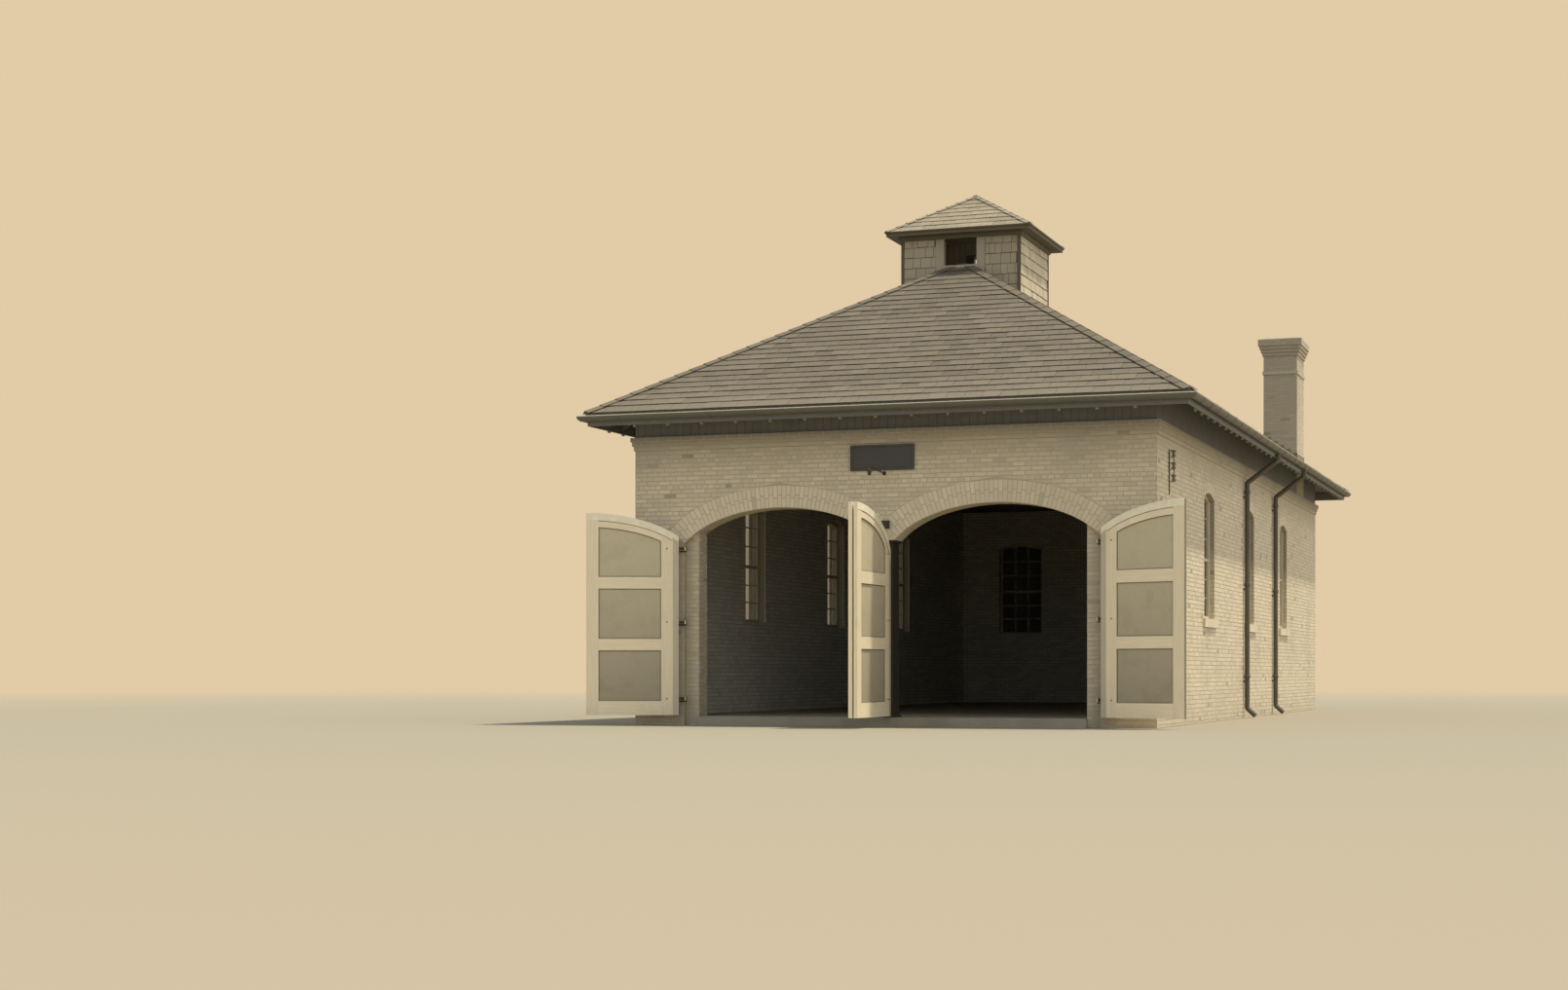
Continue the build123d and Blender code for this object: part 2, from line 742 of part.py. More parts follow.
# Door leaves, shown standing open.
# For each: pin place, way it points when shut, opening angle, and its sizes from the pin.
outer_leaf = (
    outer_pin_to_leaf,
    outer_pin_x - arch_centre_x - leaf_meeting_gap / 2,
    (outer_pin_x - arch_centre_x, outer_leaf_half_span),
    outer_pin_proud + leaf_face_setback,
    outer_eye_radius,
    outer_hinge_heights,
)
inner_pin_y = leaf_face_setback + leaf_thickness / 2
inner_leaf = (
    inner_pin_to_leaf,
    arch_centre_x - inner_pin_x - leaf_meeting_gap / 2,
    (arch_centre_x - inner_pin_x, inner_leaf_half_span),
    leaf_face_setback - inner_pin_y,
    inner_eye_radius,
    inner_hinge_heights,
)
leaves = {
    "left_bay_outer_door": ((-outer_pin_x, front_y - outer_pin_proud), 1, outer_open_angle, outer_leaf),
    "left_bay_inner_door": ((-inner_pin_x, front_y + inner_pin_y), -1, inner_open_angle, inner_leaf),
    "right_bay_inner_door": ((inner_pin_x, front_y + inner_pin_y), 1, inner_open_angle, inner_leaf),
    "right_bay_outer_door": ((outer_pin_x, front_y - outer_pin_proud), -1, outer_open_angle, outer_leaf),
}


def leaf_outline(start, end, foot, head, curve, inset):
    """Part of a leaf between two distances from the pin, under the curve of its head less an inset."""
    middle, half_span = curve
    with Locations((middle, arch_centre_z)):
        Ellipse(half_span - inset, arch_rise - leaf_crown_gap - inset)
    with Locations((middle, arch_centre_z / 2)):
        Rectangle(2 * (half_span - inset), arch_centre_z)
    with Locations(((start + end) / 2, (foot + head) / 2)):
        Rectangle(end - start, head - foot, mode=Mode.INTERSECT)


panel_rows = (
    (bottom_rail_top, lock_rail_foot),
    (lock_rail_top, upper_rail_foot),
    (upper_rail_top, wall_top),
)

for name, (pin, pointing, open_angle, sizes) in leaves.items():
    leaf_start, leaf_end, curve, face, eye_radius, hinge_heights = sizes
    turn = radians(-pointing * open_angle)
    along = Vector(pointing * cos(turn), pointing * sin(turn), 0)
    # The plane's normal points into the building for one hand of leaf and out of it for the other
    hand = -pointing
    leaf_plane = Plane(origin=(pin[0], pin[1], 0), x_dir=along, z_dir=along.cross(Vector(0, 0, 1)))

    with BuildPart() as door_frame:
        with BuildSketch(leaf_plane.offset(hand * face)):
            leaf_outline(leaf_start, leaf_end, leaf_foot, wall_top, curve, 0)
        extrude(amount=hand * leaf_thickness)
        for row_foot, row_head in panel_rows:
            with BuildSketch(leaf_plane.offset(hand * face)):
                leaf_outline(
                    leaf_start + hinge_stile, leaf_end - meeting_stile, row_foot, row_head, curve, top_rail_depth
                )
            extrude(amount=hand * leaf_thickness, mode=Mode.SUBTRACT)
        for height in hinge_heights:
            eye_foot = height - strap_height / 2
            # Strap on the outer face of the leaf
            with BuildSketch(leaf_plane.offset(hand * face)):
                with Locations((leaf_start + strap_length / 2, height)):
                    Rectangle(strap_length, strap_height)
            extrude(amount=-hand * strap_thickness)
            # Lug from the leaf to the eye
            lug_foot = face - outer_lug_depth if face > 0 else -inner_lug_half_depth
            lug_depth = outer_lug_depth if face > 0 else 2 * inner_lug_half_depth
            with BuildSketch(leaf_plane.offset(hand * lug_foot)):
                with Locations((leaf_start / 2, height)):
                    Rectangle(leaf_start, strap_height)
            extrude(amount=hand * lug_depth)
            with BuildSketch(Plane(origin=(pin[0], pin[1], eye_foot))):
                Circle(eye_radius)
            extrude(amount=strap_height)
            with BuildSketch(Plane(origin=(pin[0], pin[1], eye_foot))):
                Circle(pin_radius + pin_clearance)
            extrude(amount=strap_height, mode=Mode.SUBTRACT)
    save(door_frame.part, f"{name}_frame")

    with BuildPart() as door_panels:
        for row_foot, row_head in panel_rows:
            with BuildSketch(leaf_plane.offset(hand * (face + (leaf_thickness - panel_thickness) / 2))):
                leaf_outline(
                    leaf_start + hinge_stile + panel_clearance,
                    leaf_end - meeting_stile - panel_clearance,
                    row_foot + panel_clearance,
                    row_head - panel_clearance,
                    curve,
                    top_rail_depth + panel_clearance,
                )
            extrude(amount=hand * panel_thickness)
    save(door_panels.part, f"{name}_panels")

# Fixed pins under the eyes, on arms from the piers and the post
with BuildPart() as hinge_pins:
    for pin, pointing, open_angle, sizes in leaves.values():
        outer = sizes is outer_leaf
        side_sign = 1 if pin[0] > 0 else -1
        for height in sizes[-1]:
            arm_top = height - strap_height / 2 - hinge_arm_gap
            with BuildSketch(Plane(origin=(pin[0], pin[1], arm_top - hinge_arm_thickness))):
                Circle(pin_radius)
            extrude(amount=hinge_arm_thickness + hinge_arm_gap + strap_height + pin_above_eye)
            with BuildSketch(Plane.XY.offset(arm_top - hinge_arm_thickness)):
                if outer:
                    with Locations((pin[0] + side_sign * outer_arm_length / 2, front_y - outer_arm_depth / 2)):
                        Rectangle(outer_arm_length, outer_arm_depth)
                    with Locations((pin[0], (front_y + pin[1]) / 2)):
                        Rectangle(2 * pin_radius, front_y - pin[1])
                else:
                    with Locations((pin[0], (pin[1] + front_y + door_rebate) / 2)):
                        Rectangle(2 * inner_arm_half_width, front_y + door_rebate - pin[1])
            extrude(amount=hinge_arm_thickness)
save(hinge_pins.part, "hinge_pins")

# Rain pipes from the gutters down the long walls, each with a kicked-out shoe
pipe_outer_x = half_width + pipe_wall_gap + pipe_radius
pipe_neck_x = half_width + (fascia_outer + gutter_outer - gutter_chamfer) / 2
pipe_corbel_x = half_width + corbel_projection(corbel_courses - 1)
with BuildPart() as rain_pipes:
    for hand in (-1, 1):
        for place in pipe_places:
            pipe_y = front_y + place
            with BuildLine() as pipe_path:
                FilletPolyline(
                    (hand * pipe_neck_x, pipe_y, gutter_foot),
                    (hand * pipe_neck_x, pipe_y, gutter_foot - pipe_neck_drop),
                    (hand * pipe_outer_x, pipe_y, pipe_neck_foot),
                    (hand * pipe_outer_x, pipe_y, pipe_shoe_height + pipe_radius),
                    (hand * (pipe_outer_x + pipe_shoe_reach), pipe_y, pipe_radius + pipe_skin),
                    radius=pipe_radius + pipe_skin,
                )
            with BuildSketch(Plane(origin=pipe_path.line @ 0, z_dir=pipe_path.line % 0)):
                Circle(pipe_radius)
                Circle(pipe_radius - pipe_skin, mode=Mode.SUBTRACT)
            sweep(path=pipe_path.line)
            for height in pipe_bracket_heights:
                with BuildSketch(Plane.XY.offset(height)):
                    with Locations((hand * (half_width + (pipe_outer_x - half_width) / 2), pipe_y)):
                        Rectangle(pipe_outer_x - half_width, 2 * (pipe_radius + pipe_bracket_spread))
                    with Locations((hand * pipe_outer_x, pipe_y)):
                        Circle(pipe_radius - pipe_skin / 2, mode=Mode.SUBTRACT)
                extrude(amount=pipe_bracket_height)
save(rain_pipes.part, "rain_pipes")

# Bare sign board with a raised border
with BuildPart() as sign_board:
    with BuildSketch(front_face):
        with Locations((sign_centre_x, sign_foot + sign_height / 2)):
            Rectangle(sign_width, sign_height)
    extrude(amount=sign_thickness)
    with BuildSketch(front_face.offset(sign_thickness)):
        with Locations((sign_centre_x, sign_foot + sign_height / 2)):
            Rectangle(sign_width, sign_height)
            Rectangle(sign_width - 2 * sign_border, sign_height - 2 * sign_border, mode=Mode.SUBTRACT)
    extrude(amount=sign_border_proud)
save(sign_board.part, "sign_board")

# Lamp on an arm under the sign board
with BuildPart() as door_lamp:
    with BuildSketch(front_face):
        with Locations((lamp_x, lamp_z)):
            Circle(lamp_plate_radius)
    extrude(amount=lamp_plate_thickness)
    with BuildSketch(front_face):
        with Locations((lamp_x, lamp_z)):
            Circle(lamp_arm_radius)
    extrude(amount=lamp_reach)
    shade_top = lamp_z - lamp_arm_radius
    with BuildSketch(Plane(origin=(lamp_x, front_y - lamp_reach, lamp_z + lamp_arm_radius))):
        Circle(lamp_neck_radius)
    extrude(amount=-3 * lamp_arm_radius)
    with BuildSketch(Plane(origin=(lamp_x, front_y - lamp_reach, shade_top - lamp_shade_height))):
        Circle(lamp_shade_radius)
    with BuildSketch(Plane(origin=(lamp_x, front_y - lamp_reach, shade_top))):
        Circle(lamp_neck_radius)
    loft()
save(door_lamp.part, "door_lamp")

# Small iron box on the brickwork between the arches
with BuildPart() as alarm_box:
    with BuildSketch(front_face):
        with Locations((0, box_foot + box_height / 2)):
            Rectangle(box_width, box_height)
    extrude(amount=box_depth)
save(alarm_box.part, "alarm_box")

# Iron bar with three insulators on the right wall, near its front corner
right_face = Plane.YZ.offset(half_width)
with BuildPart() as insulator_rack:
    with BuildSketch(right_face):
        with Locations((front_y + rack_front, rack_foot + rack_height / 2)):
            Rectangle(rack_bar_width, rack_height)
    extrude(amount=rack_bar_thickness)
    for index in range(rack_insulators):
        arm_z = rack_foot + rack_height - insulator_top_margin - insulator_pitch * index
        with BuildSketch(right_face.offset(rack_bar_thickness)):
            with Locations((front_y + rack_front, arm_z)):
                Circle(rack_arm_radius)
        extrude(amount=rack_arm_reach)
        with BuildSketch(Plane(origin=(half_width + rack_arm_reach, front_y + rack_front, arm_z - insulator_height / 2))):
            Circle(insulator_radius)
        extrude(amount=insulator_height)
save(insulator_rack.part, "insulator_rack")
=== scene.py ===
"""Dresses the two-bay brick fire house: bricks, slates, sashes, door trim, gutters and fittings."""
import math
import random
from functools import cache

import bmesh
import bpy
from bpy.props import FloatProperty, FloatVectorProperty, IntProperty, PointerProperty
from mathutils import Matrix, Vector


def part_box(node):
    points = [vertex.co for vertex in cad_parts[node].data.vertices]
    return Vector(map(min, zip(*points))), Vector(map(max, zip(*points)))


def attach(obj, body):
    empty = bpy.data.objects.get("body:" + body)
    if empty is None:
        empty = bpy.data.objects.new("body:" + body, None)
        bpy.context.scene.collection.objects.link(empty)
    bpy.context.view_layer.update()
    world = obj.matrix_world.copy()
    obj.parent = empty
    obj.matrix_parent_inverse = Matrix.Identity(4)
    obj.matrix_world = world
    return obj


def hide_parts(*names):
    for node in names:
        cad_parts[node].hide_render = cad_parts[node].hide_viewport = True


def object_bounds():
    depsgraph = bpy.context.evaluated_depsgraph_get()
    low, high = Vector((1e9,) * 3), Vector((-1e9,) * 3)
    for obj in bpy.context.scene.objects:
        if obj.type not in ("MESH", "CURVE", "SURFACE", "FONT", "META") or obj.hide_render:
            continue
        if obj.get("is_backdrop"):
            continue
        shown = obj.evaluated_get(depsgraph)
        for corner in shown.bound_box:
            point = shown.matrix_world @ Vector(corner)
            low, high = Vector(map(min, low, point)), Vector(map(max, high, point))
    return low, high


bl_info = {
    "name": "Fire house dressing",
    "version": (1, 0, 0),
    "blender": (4, 5, 0),
    "location": "View3D > Sidebar > Fire House",
    "description": "Brickwork, roofing, joinery and fittings of a two-bay fire house",
    "category": "Object",
}

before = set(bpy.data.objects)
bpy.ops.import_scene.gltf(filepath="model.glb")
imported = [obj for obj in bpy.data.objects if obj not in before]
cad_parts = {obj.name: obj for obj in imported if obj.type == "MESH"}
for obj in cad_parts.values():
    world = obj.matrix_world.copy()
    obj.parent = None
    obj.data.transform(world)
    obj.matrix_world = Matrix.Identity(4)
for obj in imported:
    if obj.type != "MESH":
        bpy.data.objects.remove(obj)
CAD_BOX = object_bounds()

# Places taken from the solids, in metres
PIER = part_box("front_pier_right")
HALF_WIDTH = PIER[1].x
FRONT = PIER[0].y
REAR = -FRONT
DOOR_SIDE = PIER[0].x
SPRING = PIER[1].z
WALL_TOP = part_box("left_wall")[1].z
FLOOR_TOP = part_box("floor_slab")[1].z
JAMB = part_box("door_jamb_right")
JAMB_SIDE = JAMB[0].x
JAMB_FACE = JAMB[0].y
JAMB_BACK = JAMB[1].y
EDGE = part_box("roof_right")[1].x - HALF_WIDTH
EDGE_X = HALF_WIDTH + EDGE
EDGE_Y = REAR + EDGE
EDGE_TOP = 5.31
RIDGE_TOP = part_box("roof_right")[1].z
RIDGE_Y = 5.35
SIDE_SLOPE = (RIDGE_TOP - EDGE_TOP) / EDGE_X
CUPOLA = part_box("cupola_walls")
CUPOLA_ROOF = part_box("cupola_roof")
CUPOLA_Y = (CUPOLA[0].y + CUPOLA[1].y) / 2
CORNER_SIGNS = ((-1, -1), (-1, 1), (1, -1), (1, 1))

# Least height of a course and least length of a block, and the shift of the side walls' bond
THIN_COURSE = 0.018
SHORT_BLOCK = 0.025
SIDE_SHIFT = 0.107

# Door arches and corbels
ARCH_X = 1.87
ARCH_Z = 2.67
ARCH_SPAN = 1.9
ARCH_RISE = 1.0
RING_DEPTH = 0.37
RING_BRICK = 0.074
RING_SPLITS = (0.43, 0.57)
SOFFIT_SPLITS = (0.4, 0.6)
DOOR_SOFFIT = 0.45
CORBELS = 3
CORBEL_STEP = 0.022

# Windows
WINDOW_HALF = 0.55
SILL_FOOT = 1.7
SILL_TOP = 1.85
SILL_HALF = 0.72
SASH_SET = 0.098
SASH_BORDER = 0.06
MEETING_RAIL = (2.9, 2.95)
HEAD_SPRING = 4.0
HEAD_RISE = 0.11
HEAD_RADIUS = (WINDOW_HALF ** 2 + HEAD_RISE ** 2) / (2 * HEAD_RISE)
HEAD_CENTRE = HEAD_SPRING + HEAD_RISE - HEAD_RADIUS
HEAD_RING = 0.2
HEAD_BRICK = 0.072
SIDE_WINDOWS = (-5.19, -0.31, 4.57)
REAR_WINDOWS = (-2.7, 0.0, 2.7)

# Slates: overhang of the lowest course, gap, lift off the boards, and thickness of a shingle
EAVES_LAP = 0.035
SLATE_GAP = 0.004
SLATE_LIFT = 0.001
SHINGLE = 0.007

# Eaves, out from the wall: faces and heights of the fascia; middle of the gutter, height of its rim, its half
# width and depth
FASCIA = (0.595, 0.62, 5.085, 5.262)
GUTTER = (0.6925, 5.24, 0.0725, 0.08)
BRACKET_PITCH = 0.76
BRACKET_HALF = 0.014
RAFTER_PITCH = 0.61

# Rain pipes: out from the wall, along it, and heights
PIPE_OUT = 0.073
OUTLET_OUT = 0.661
OUTLET_FOOT = 5.06
PIPE_Y = (-1.15, 2.85)
COLLAR_FEET = (0.78, 2.58, 4.38)

# Cupola: half width of the frames, inset of the shingles at the corners, and thickness of the eaves
CUPOLA_FRAME_HALF = 0.465
CUPOLA_CORNER = 0.03
CUPOLA_EAVES = 0.08

# Chimney stack
STACK_X = (3.755, 4.5)
STACK_Y = (6.85, 8.05)
STACK_TOP = 8.5
BAND_FOOT = 7.69
BAND_OUT = 0.025
CAP_FOOT = 8.12
CAP_STEP = 0.028

# Sizes of a door leaf: start and end from the pin, middle and half span of the head curve, outer face from
# the pin, and heights of the hinges. Then each leaf's pin, way it points when shut, opening angle and sizes
OUTER = (0.12, 1.684, 1.69, 1.92, 0.035, (0.45, 1.75, 3.0))
INNER = (0.02, 1.819, 1.825, 1.875, -0.03, (0.45, 1.75, 2.85))
LEAVES = {
    "left_bay_outer_door": ((-3.56, FRONT - 0.03), 1, 157, OUTER),
    "left_bay_inner_door": ((-0.045, FRONT + 0.035), -1, 90, INNER),
    "right_bay_inner_door": ((0.045, FRONT + 0.035), 1, 90, INNER),
    "right_bay_outer_door": ((3.56, FRONT - 0.03), -1, 157, OUTER),
}
LEAF_THICKNESS = 0.06
LEAF_HEAD_RISE = 0.93
LEAF_FOOT = 0.17
HINGE_STILE = 0.3
MEETING_STILE = 0.205
TOP_RAIL = 0.235
BOARD = 0.0016
BEAD_THICKNESS = 0.0135
PANEL_SUNK = 0.0175
PANEL_ROWS = ((0.41, 1.27), (1.465, 2.318), (2.517, None))
EDGE_BOARD = 0.1

# Insets from the curved head of a leaf: where its boards end, and foot and top of cover strip and drip mould
COVER = 0.08
COVER_BAND = (0.12, 0.004)
DRIP_BAND = (0.13, 0.12)

# Hinge straps and the bolts along them, from the start of the leaf
STRAP_LENGTH = 0.232
STRAP_HALF = 0.031
STRAP_THICKNESS = 0.0095
BOLT_PLACES = (0.05, 0.12, 0.19)

# Fittings: foot of the lamp's arm and how far it reaches, the rack, and the bands on the middle post
LAMP = (-0.03, FRONT, 4.19)
LAMP_REACH = 0.82
RACK_OUT = 0.085
RACK_Y = FRONT + 1.04
RACK_HEIGHTS = (3.8, 4.53)
SPOOL_HEIGHTS = (4.465, 4.265, 4.065)
BAND_FEET = (0.6, 1.35, 2.1, 2.75)

# Camera and floor
CAMERA_PLACE = (11.466, -47.463, 0.887)
CAMERA_TURN = math.radians(19.61)
CAMERA_SHIFT = 0.1135
FLOOR_REACH = 400


def leaf_way(pointing, angle):
    """The way a door leaf points from its pin as it stands open."""
    turn = math.radians(-pointing * angle)
    return Vector((pointing * math.cos(turn), pointing * math.sin(turn), 0))


def tint(red, green, blue):
    """Scene-linear colour from the 0 to 255 numbers that a picture would show."""
    shares = (number / 255 for number in (red, green, blue))
    return tuple(v / 12.92 if v <= 0.04 else ((v + 0.055) / 1.055) ** 2.4 for v in shares)


# Nodes and materials


class Wire:
    """A socket in a node tree that can be used in sums; each sum adds the node that works it out."""

    def __init__(self, tree, socket):
        self.tree = tree
        self.socket = socket

    @property
    def vector(self):
        return self.socket.type in ("VECTOR", "RGBA")

    def sum(self, operation, left, right):
        vectors = [getattr(side, "vector", isinstance(side, (tuple, Vector))) for side in (left, right)]
        if operation == "MULTIPLY" and vectors[0] != vectors[1]:
            vector, number = (left, right) if vectors[0] else (right, left)
            return self.tree.vectors("SCALE", {0: vector, "Scale": number})
        if any(vectors):
            return self.tree.vectors(operation, {0: left, 1: right})
        return self.tree.node("ShaderNodeMath", {"operation": operation}, {0: left, 1: right})

    def __add__(self, other):
        return self.sum("ADD", self, other)

    def __radd__(self, other):
        return self.sum("ADD", other, self)

    def __sub__(self, other):
        return self.sum("SUBTRACT", self, other)

    def __rsub__(self, other):
        return self.sum("SUBTRACT", other, self)

    def __mul__(self, other):
        return self.sum("MULTIPLY", self, other)

    def __rmul__(self, other):
        return self.sum("MULTIPLY", other, self)

    def __truediv__(self, other):
        return self.sum("DIVIDE", self, other)

    def __gt__(self, other):
        return self.sum("GREATER_THAN", self, other)

    def __lt__(self, other):
        return self.sum("LESS_THAN", self, other)

    def __abs__(self):
        return self.tree.curve("ABSOLUTE", self)


class Tree:
    """A node tree that takes nodes, each with its settings and the values or links of its sockets."""

    def __init__(self, nodes):
        self.nodes = nodes.nodes
        self.links = nodes.links
        self.nodes.clear()

    def node(self, kind, settings=None, sockets=None, output=0):
        made = self.nodes.new(kind)
        for name, value in (settings or {}).items():
            if name == "stops":
                points = made.color_ramp.elements
                while len(points) < len(value):
                    points.new(0.5)
                for point, (place, colour) in zip(points, value):
                    point.position = place
                    point.color = (*colour, 1)
            else:
                setattr(made, name, value)
        for key, value in (sockets or {}).items():
            socket = self.find(made.inputs, key)
            if isinstance(value, Wire):
                self.links.new(value.socket, socket)
            elif socket.type == "RGBA":
                socket.default_value = (*value, 1)[:4]
            else:
                socket.default_value = value
        return Wire(self, self.find(made.outputs, output)) if len(made.outputs) else None

    @staticmethod
    def find(sockets, key):
        """The socket in use with that name, or at that place among those in use."""
        used = [socket for socket in sockets if socket.enabled]
        return used[key] if isinstance(key, int) else next(s for s in used if s.name == key)

    def place(self, scale=(1, 1, 1), turn=0.0):
        """Object coordinates in metres, turned about the upright and stretched."""
        at = self.node("ShaderNodeTexCoord", output="Object")
        if turn:
            settings = {"rotation_type": "Z_AXIS"}
            at = self.node("ShaderNodeVectorRotate", settings, {"Vector": at, "Angle": turn})
        return at * tuple(scale)

    def axes(self, vector):
        split = self.node("ShaderNodeSeparateXYZ", sockets={0: vector}).socket.node
        return [Wire(self, socket) for socket in split.outputs]

    def noise(self, vector, scale, detail=3.0, roughness=0.55):
        sockets = {"Vector": vector, "Scale": scale, "Detail": detail, "Roughness": roughness}
        return self.node("ShaderNodeTexNoise", sockets=sockets)

    def mix(self, first, second, share):
        settings = {"data_type": "RGBA", "clamp_factor": True}
        return self.node("ShaderNodeMix", settings, {"Factor": share, "A": first, "B": second}, "Result")

    def coats(self, base, colour, *layers):
        """Lays shades of a colour over a base, each by a factor and with a share."""
        for factor, share in layers:
            base = self.mix(base, shade(colour, factor), share)
        return base

    def limit(self, value):
        return self.node("ShaderNodeClamp", sockets={"Value": value})

    def fade(self, value, low, high):
        """0 below the lower number, 1 above the upper one."""
        return self.limit((value - low) / (high - low))

    def curve(self, operation, value):
        return self.node("ShaderNodeMath", {"operation": operation}, {0: value})

    def vectors(self, operation, sockets, output=0):
        return self.node("ShaderNodeVectorMath", {"operation": operation}, sockets, output)

    def tone(self):
        """Number from 0 to 1 that each laid block has of its own."""
        return self.node("ShaderNodeAttribute", {"attribute_name": "tone"}, output="Fac")

    def tones(self, colour, *stops):
        """Shades of a colour from block to block; each stop is a tone and the factor there."""
        stops = [(place, shade(colour, factor)) for place, factor in stops]
        return self.node("ShaderNodeValToRGB", {"stops": stops}, {0: self.tone()})

    def spot(self):
        """Place on a laid block: across it, up it and out of it, each from 0 to 1."""
        return self.axes(self.node("ShaderNodeAttribute", {"attribute_name": "spot"}, output="Vector"))


def shade(colour, factor):
    return tuple(c * factor for c in colour[:3])


def material(name, paint, bump=0.5, depth=0.002, **shader):
    """A material from a function that gives colour, roughness, height and perhaps alpha over a surface."""
    made = bpy.data.materials.new(name)
    made.use_nodes = True
    tree = Tree(made.node_tree)
    colour, roughness, height, *solid = paint(tree)
    normal = tree.node("ShaderNodeBump", sockets={"Strength": bump, "Distance": depth, "Height": height})
    sockets = {"Base Color": colour, "Roughness": roughness, "Normal": normal, **shader}
    sockets.update(zip(("Alpha",), solid))
    surface = tree.node("ShaderNodeBsdfPrincipled", sockets=sockets)
    tree.node("ShaderNodeOutputMaterial", sockets={"Surface": surface})
    return made


def brick_paint(tree, colour, spread=1.0):
    """Buff brick: a tone for each, blotches, a sooty stack, splash at the foot; painted shade under the
    eaves, in the side-window reveals, on the stack's front and beside the doorways.
    """
    at = tree.place()
    x, y, height = tree.axes(at)
    side = abs(x)
    blotch = tree.noise(at, 0.55, 4)
    grit = tree.noise(at, 95, 3, 0.7)
    stops = ((0.0, 0.58), (0.01, 0.62), (0.016, 0.84), (0.07, 0.9), (0.3, 0.95), (0.8, 1.03), (1.0, 1.1))
    base = tree.tones(colour, *((place, 1 + (factor - 1) * spread) for place, factor in stops))
    edge = tree.fade(abs(tree.spot()[1] - 0.5) + grit * 0.06, 0.47, 0.55)
    # Painted shade: the top courses darkened where the eaves' shadow falls.
    eaves = tree.fade(height + grit * 0.06, 4.72, 4.93) * 0.4
    eaves = eaves + tree.fade(height + blotch * 0.3, 4.35, 5.0) * 0.55
    # Painted shade in the side-window reveals above 2.8 m, where the eaves' shadow falls.
    reveal_shade = (side < HALF_WIDTH - 0.004) * (side > HALF_WIDTH - 0.3) * (abs(y) < REAR - 0.05)
    eaves = (eaves + reveal_shade * tree.fade(height, 2.8, 3.2) * 0.8) * (height < WALL_TOP + 0.02)
    # Painted shade on the chimney's front face, the side turned away from the sun.
    stack_front_shade = (height > WALL_TOP + 0.05) * (y < STACK_Y[0] + 0.02) * 0.35
    # Sooty darkening up the stack, added to the painted shade above.
    soot_and_shade = eaves + tree.fade(height + blotch * 0.8, 5.2, 8.8) * 0.35 + stack_front_shade
    splash = (1 - tree.fade(height + blotch * 0.5, 0.1, 0.75)) * 0.3
    # Painted shade on the bricks beside the doorways, where the open leaves stand in front of them.
    beside = 1 - tree.fade(abs(side - DOOR_SIDE) + blotch * 0.25, 0.2, 0.42)
    beside = beside * (y < JAMB_BACK) * (height < SPRING + 0.1) * 0.45
    base = tree.coats(base, colour, (0.7, edge * 0.35), (0.55, tree.fade(blotch, 0.5, 0.8) * 0.45))
    base = tree.coats(base, colour, (0.42, soot_and_shade + splash + beside), (0.7, tree.fade(grit, 0.55, 0.8) * 0.5))
    return base, 0.78 + grit * 0.2, grit + tree.noise(at, 22, 2) * 0.7


def mortar_paint(tree, colour, axis):
    """Mortar outside, limewashed brickwork inside; the axis is the one that the wall runs along."""
    at = tree.place()
    x, y, z = tree.axes(at)
    within = (abs(x) < HALF_WIDTH - 0.31) * (abs(y) < REAR - 0.31) * (z < WALL_TOP + 0.65)
    flat = tree.node("ShaderNodeCombineXYZ", sockets={0: x if axis == "x" else y, 1: z})
    wash = chosen("brickwork").limewash
    sockets = {
        "Vector": flat, "Color1": shade(wash, 1.0), "Color2": shade(wash, 0.82), "Mortar": shade(wash, 0.6),
        "Scale": 1.0, "Mortar Size": 0.006, "Brick Width": 0.214, "Row Height": 0.075,
    }
    inner = tree.node("ShaderNodeTexBrick", sockets=sockets)
    joints = tree.node("ShaderNodeTexBrick", sockets=sockets, output="Fac")
    grit = tree.noise(at, 60, 3, 0.7)
    outer = tree.mix(shade(colour, 0.8), shade(colour, 1.1), grit)
    return tree.mix(outer, inner, within), 0.85 + grit * 0.1, grit * 0.6 - joints * within


def slate_paint(tree, colour, light_foot=None, weather=None):
    """Slates or shingles that differ from piece to piece, with streaks and painted shadow lines along their
    tails; on request a painted highlight on the lowest courses and painted shade on the front.
    """
    at = tree.place()
    x, y, height = tree.axes(at)
    vein = tree.noise(tree.place((3, 3, 9)), 5, 4, 0.6)
    base = tree.tones(colour, (0.0, 0.8), (0.25, 0.94), (0.7, 1.04), (1.0, 1.16))
    up = tree.spot()[1]
    # Painted shadow: dark lines at the head of each slate, under the tail of the course above, and along its
    # own tail.
    line = tree.fade(up + vein * 0.06, 0.92, 1.03) + (1 - tree.fade(up, 0.01, 0.05)) * 0.5
    wide = tree.fade(tree.noise(at, 0.45, 3), 0.5, 0.75)
    coats = [(0.42, line * 0.5), (0.6, tree.fade(vein, 0.5, 0.75) * 0.4), (1.25, wide * 0.25)]
    # Painted highlight: the lowest courses lighter, as where the sun lights the edge of the eaves.
    if light_foot:
        coats.append((1.5, (1 - tree.fade(height + vein * 0.1, light_foot, light_foot + 0.45)) * 0.5))
    # Painted shade on the front face of the cupola, which is turned away from the sun.
    if weather:
        coats.append((0.42, (y < weather) * 0.6))
    return tree.coats(base, colour, *coats), 0.55 + vein * 0.3, vein + tree.noise(at, 60, 3) * 0.4


